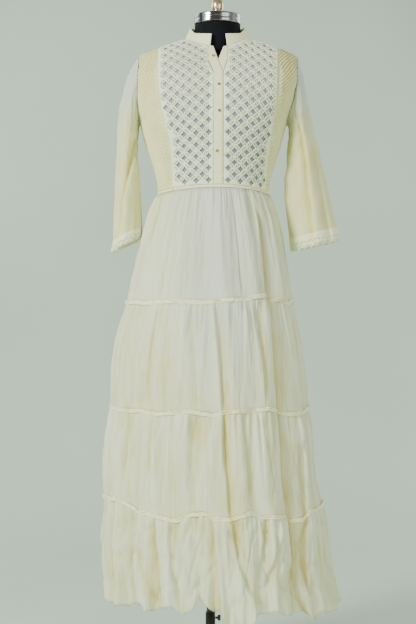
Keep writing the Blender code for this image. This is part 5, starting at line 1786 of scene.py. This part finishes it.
class GOWN_OT_sleeves(bpy.types.Operator):
    """Builds the sheer sleeves and their embroidered, scalloped cuffs"""

    bl_idname = "gown.sleeves"
    bl_label = "Sleeves and cuffs"

    def execute(self, context):
        sizes = context.scene.gown_sizes
        leaf = petal_mesh(0.0105, 0.0050)
        for side, word in ((-1, "left"), (1, "right")):
            hub = (CENTRE_X + side * 0.222, 0.008)
            name = "sleeve_cloth_" + word
            mesh = lay_cloth(name, 150, 90, sleeve_place(side, 0.0, 6.0), (0.34, 0.42), wrap=True, hub=hub)
            piece = add_piece(name, mesh, [skin_of("sleeve gauze")], ["sleeve_" + word])
            thicken(piece, sizes.cloth_thick)
            name = "cuff_cloth_" + word
            mesh = lay_cloth(name, 352, 12, cuff_place(side), (0.34, 0.026), wrap=True, hub=hub)
            cuff = add_piece(name, mesh, [skin_of("cream cotton")], ["cuff_" + word])
            thicken(cuff, 0.0010)
            a = (np.arange(44) + 0.5) / 44.0
            rows = []
            for row, tilt in ((0.34, 1.0), (0.72, -1.0)):
                here, _ = cuff_place(side)(a, row + 0.0 * a)
                ahead, _ = cuff_place(side)((a + 0.003) % 1.0, row + 0.0 * a)
                above, _ = cuff_place(side)(a, row + 0.05 + 0.0 * a)
                for k in range(len(a)):
                    across = Vector(ahead[k] - here[k]).normalized()
                    up = Vector(above[k] - here[k]).normalized()
                    out = across.cross(up).normalized()
                    if out.x * (here[k][0] - hub[0]) + out.y * (here[k][1] - hub[1]) < 0.0:
                        out = -out
                    lean = 0.75 * tilt * (1.0 if k % 2 else -1.0)
                    way = (across * math.cos(lean) + up * math.sin(lean)).normalized()
                    turn = Matrix((way, out.cross(way), out)).transposed().to_4x4()
                    rows.append(Matrix.Translation(Vector(here[k]) + out * 0.0001) @ turn)
            bm = scatter(rows, leaf)
            mesh = bpy.data.meshes.new("cuff_leaves_" + word)
            bm.to_mesh(mesh)
            bm.free()
            leaves = add_piece(
                "cuff_leaves_" + word, mesh, [skin_of("white lace"), skin_of("net middle painted shade")],
                smooth=False,
            )
        bpy.data.meshes.remove(leaf)
        return {"FINISHED"}


class GOWN_OT_form(bpy.types.Operator):
    """Builds the black form with its cap and finial"""

    bl_idname = "gown.form"
    bl_label = "Dress form"

    def execute(self, context):
        mesh = lay_cloth("form_body", 96, 96, form_place, (0.9, 0.75), wrap=True, closed=True)
        add_piece("form_body", mesh, [skin_of("black jersey")], ["dress_form"])
        neck = Matrix.Translation((CENTRE_X, NECK_Y, 0.0))
        cap = ((0.0, 1.6260), (0.0552, 1.6260), (0.0572, 1.6240), (0.0572, 1.6170), (0.0566, 1.6162),
               (0.0566, 1.6122), (0.0572, 1.6114), (0.0572, 1.6044), (0.0552, 1.6024), (0.0, 1.6024))
        mesh = moved(turned_mesh("form_cap", rounded(cap), 96), neck)
        add_piece("form_cap", mesh, [skin_of("chrome")], ["neck_cap"])
        knob = ((0.0, 1.6264), (0.0092, 1.6264), (0.0094, 1.6278), (0.0078, 1.6292), (0.0078, 1.6310),
                (0.0102, 1.6332), (0.0108, 1.6370), (0.0132, 1.6410), (0.0142, 1.6450), (0.0148, 1.6510),
                (0.0142, 1.6560), (0.0125, 1.6600), (0.0098, 1.6638), (0.0070, 1.6660), (0.0036, 1.6675),
                (0.0, 1.6680))
        mesh = moved(turned_mesh("form_finial", knob, 64), neck)
        add_piece("form_finial", mesh, [skin_of("brass")], ["finial"])
        return {"FINISHED"}


class GOWN_OT_stand(bpy.types.Operator):
    """Builds the pole, its clamp tube with a thumb screw, and the round base"""

    bl_idname = "gown.stand"
    bl_label = "Stand"

    def execute(self, context):
        pole = ((0.0, 0.8696), (0.0320, 0.8696), (0.0320, 0.8636), (0.0110, 0.8600), (0.0095, 0.8564),
                (0.0095, 0.0204), (0.0, 0.0204))
        mesh = turned_mesh("pole", rounded(pole), 48)
        add_piece("pole", mesh, [skin_of("black enamel")], ["stand_pole"])
        tube = ((0.0099, 0.1660), (0.0118, 0.1660), (0.0118, 0.0424), (0.0099, 0.0424), (0.0099, 0.1660))
        mesh = turned_mesh("clamp_tube", tube, 48)
        add_piece("clamp_tube", mesh, [skin_of("black enamel")], ["stand_tube"])
        base = ((0.0099, 0.0420), (0.026, 0.0420), (0.029, 0.0390), (0.0305, 0.0310), (0.034, 0.0240),
                (0.044, 0.0205), (0.060, 0.0185), (0.105, 0.0155), (0.150, 0.0130), (0.182, 0.0100),
                (0.1890, 0.0070), (0.1900, 0.0050), (0.1900, 0.0), (0.0, 0.0), (0.0, 0.0200), (0.0099, 0.0200),
                (0.0099, 0.0420))
        mesh = turned_mesh("base_plate", base, 128)
        add_piece("base_plate", mesh, [skin_of("black enamel")], ["stand_base"])
        screw = ((0.0, 0.0250), (0.0058, 0.0250), (0.0072, 0.0238), (0.0072, 0.0190), (0.0062, 0.0180),
                 (0.0030, 0.0180), (0.0030, 0.0122), (0.0, 0.0122))
        turn = Matrix.Translation((0.0, 0.0, 0.1520)) @ Matrix.Rotation(math.radians(90.0), 4, "Y")
        mesh = moved(turned_mesh("thumb_screw", rounded(screw, 0.0004), 32), turn)
        add_piece("thumb_screw", mesh, [skin_of("black enamel")], ["clamp_screw"])
        return {"FINISHED"}


class GOWN_OT_stage(bpy.types.Operator):
    """Sets the floor, backdrop, lights and camera"""

    bl_idname = "gown.stage"
    bl_label = "Stage"

    def execute(self, context):
        bm = bmesh.new()
        profile = [(-4.0, 0.0), (1.6, 0.0)]
        for k in range(1, 9):
            turn = math.radians(90.0 * k / 8.0)
            profile.append((1.6 + 0.9 * math.sin(turn), 0.9 - 0.9 * math.cos(turn)))
        profile.append((2.5, 5.0))
        points = [bm.verts.new((-5.0, y, z)) for y, z in profile]
        edges = [bm.edges.new(pair) for pair in zip(points, points[1:])]
        made = bmesh.ops.extrude_edge_only(bm, edges=edges)
        moved_on = [v for v in made["geom"] if isinstance(v, bmesh.types.BMVert)]
        bmesh.ops.translate(bm, vec=(10.0, 0.0, 0.0), verts=moved_on)
        bm.normal_update()
        turned = [f for f in bm.faces if f.normal.dot(Vector((0.0, -1.0, 1.0))) < 0.0]
        bmesh.ops.reverse_faces(bm, faces=turned)
        mesh = bpy.data.meshes.new("backdrop")
        bm.to_mesh(mesh)
        bm.free()
        mesh.shade_smooth()
        skin, tree, shader = new_skin("studio paper", 0.95)
        place = node(tree, "ShaderNodeTexCoord").outputs["Object"]
        broad = noise_on(tree, place, (1.5, 1.5, 1.5), 2.0)
        stops = ((0.3, (0.50, 0.61, 0.49)), (0.7, (0.54, 0.65, 0.52)))
        tree.links.new(ramp(tree, broad, stops), shader.inputs["Base Color"])
        behind = node(tree, "ShaderNodeNewGeometry").outputs["Backfacing"]
        tree.links.new(maths(tree, "SUBTRACT", 1.0, behind), shader.inputs["Alpha"])
        mesh.materials.append(skin)
        backdrop = bpy.data.objects.new("backdrop", mesh)
        context.scene.collection.objects.link(backdrop)
        bm = bmesh.new()
        bmesh.ops.create_grid(bm, x_segments=1, y_segments=1, size=9.0)
        bmesh.ops.translate(bm, vec=(0.0, 0.0, -0.001), verts=bm.verts)
        mesh = bpy.data.meshes.new("floor")
        bm.to_mesh(mesh)
        bm.free()
        mesh.materials.append(skin)
        floor = bpy.data.objects.new("floor", mesh)
        context.scene.collection.objects.link(floor)
        for name, place, aim, power, size in (
            ("key", (-2.6, -2.3, 2.4), (0.0, 0.0, 0.9), 180.0, 1.0),
            ("fill", (2.3, -2.8, 1.5), (0.0, 0.0, 0.8), 52.0, 2.2),
            ("low", (0.0, -3.2, 0.5), (0.0, 0.0, 0.4), 16.0, 1.8),
            ("rim", (-1.8, 1.6, 2.4), (0.0, 0.0, 1.1), 30.0, 1.5),
            ("rim_right", (1.9, 1.5, 2.0), (0.0, 0.0, 0.9), 26.0, 1.5),
        ):
            lamp = bpy.data.lights.new(name, "AREA")
            lamp.energy = power
            lamp.shape = "SQUARE"
            lamp.size = size
            holder = bpy.data.objects.new(name, lamp)
            holder.location = place
            holder.rotation_euler = (Vector(aim) - Vector(place)).to_track_quat("-Z", "Y").to_euler()
            context.scene.collection.objects.link(holder)
        world = bpy.data.worlds.new("studio")
        world.use_nodes = True
        world.node_tree.nodes["Background"].inputs["Color"].default_value = (0.90, 0.94, 0.95, 1.0)
        world.node_tree.nodes["Background"].inputs["Strength"].default_value = 0.48
        context.scene.world = world
        lens = bpy.data.cameras.new("camera")
        lens.sensor_fit = "VERTICAL"
        lens.sensor_height = 36.0
        lens.lens = 73.0
        lens.shift_y = -12.0 / 624.0
        camera = bpy.data.objects.new("camera", lens)
        camera.location = (-0.0058, -3.1, 0.93)
        camera.rotation_euler = (math.radians(90.0), 0.0, 0.0)
        context.scene.collection.objects.link(camera)
        context.scene.camera = camera
        return {"FINISHED"}


class GOWN_PT_pieces(bpy.types.Panel):
    """Lists the gown's pieces, sizes and colours"""

    bl_label = "Anarkali gown"
    bl_idname = "GOWN_PT_pieces"
    bl_space_type = "VIEW_3D"
    bl_region_type = "UI"
    bl_category = "Gown"

    def draw(self, context):
        for group in (context.scene.gown_sizes, context.scene.gown_colours):
            for key in group.__annotations__:
                self.layout.prop(group, key)
        for operator in OPERATORS:
            self.layout.operator(operator.bl_idname)


OPERATORS = (
    GOWN_OT_skirt, GOWN_OT_headings, GOWN_OT_lining, GOWN_OT_lace, GOWN_OT_side_fronts, GOWN_OT_back,
    GOWN_OT_strips, GOWN_OT_buttons, GOWN_OT_collar, GOWN_OT_waist, GOWN_OT_sleeves, GOWN_OT_form,
    GOWN_OT_stand, GOWN_OT_stage,
)
CLASSES = (GownSizes, GownColours, *OPERATORS, GOWN_PT_pieces)


def register():
    for each in CLASSES:
        bpy.utils.register_class(each)
    bpy.types.Scene.gown_sizes = bpy.props.PointerProperty(type=GownSizes)
    bpy.types.Scene.gown_colours = bpy.props.PointerProperty(type=GownColours)


def unregister():
    del bpy.types.Scene.gown_colours
    del bpy.types.Scene.gown_sizes
    for each in reversed(CLASSES):
        bpy.utils.unregister_class(each)


def main():
    register()
    bpy.ops.gown.skirt()
    bpy.ops.gown.headings()
    bpy.ops.gown.lining()
    bpy.ops.gown.lace()
    bpy.ops.gown.side_fronts()
    bpy.ops.gown.back()
    bpy.ops.gown.strips()
    bpy.ops.gown.buttons()
    bpy.ops.gown.collar()
    bpy.ops.gown.waist()
    bpy.ops.gown.sleeves()
    bpy.ops.gown.form()
    bpy.ops.gown.stand()
    bpy.ops.gown.stage()


if __name__ == "__main__":
    main()
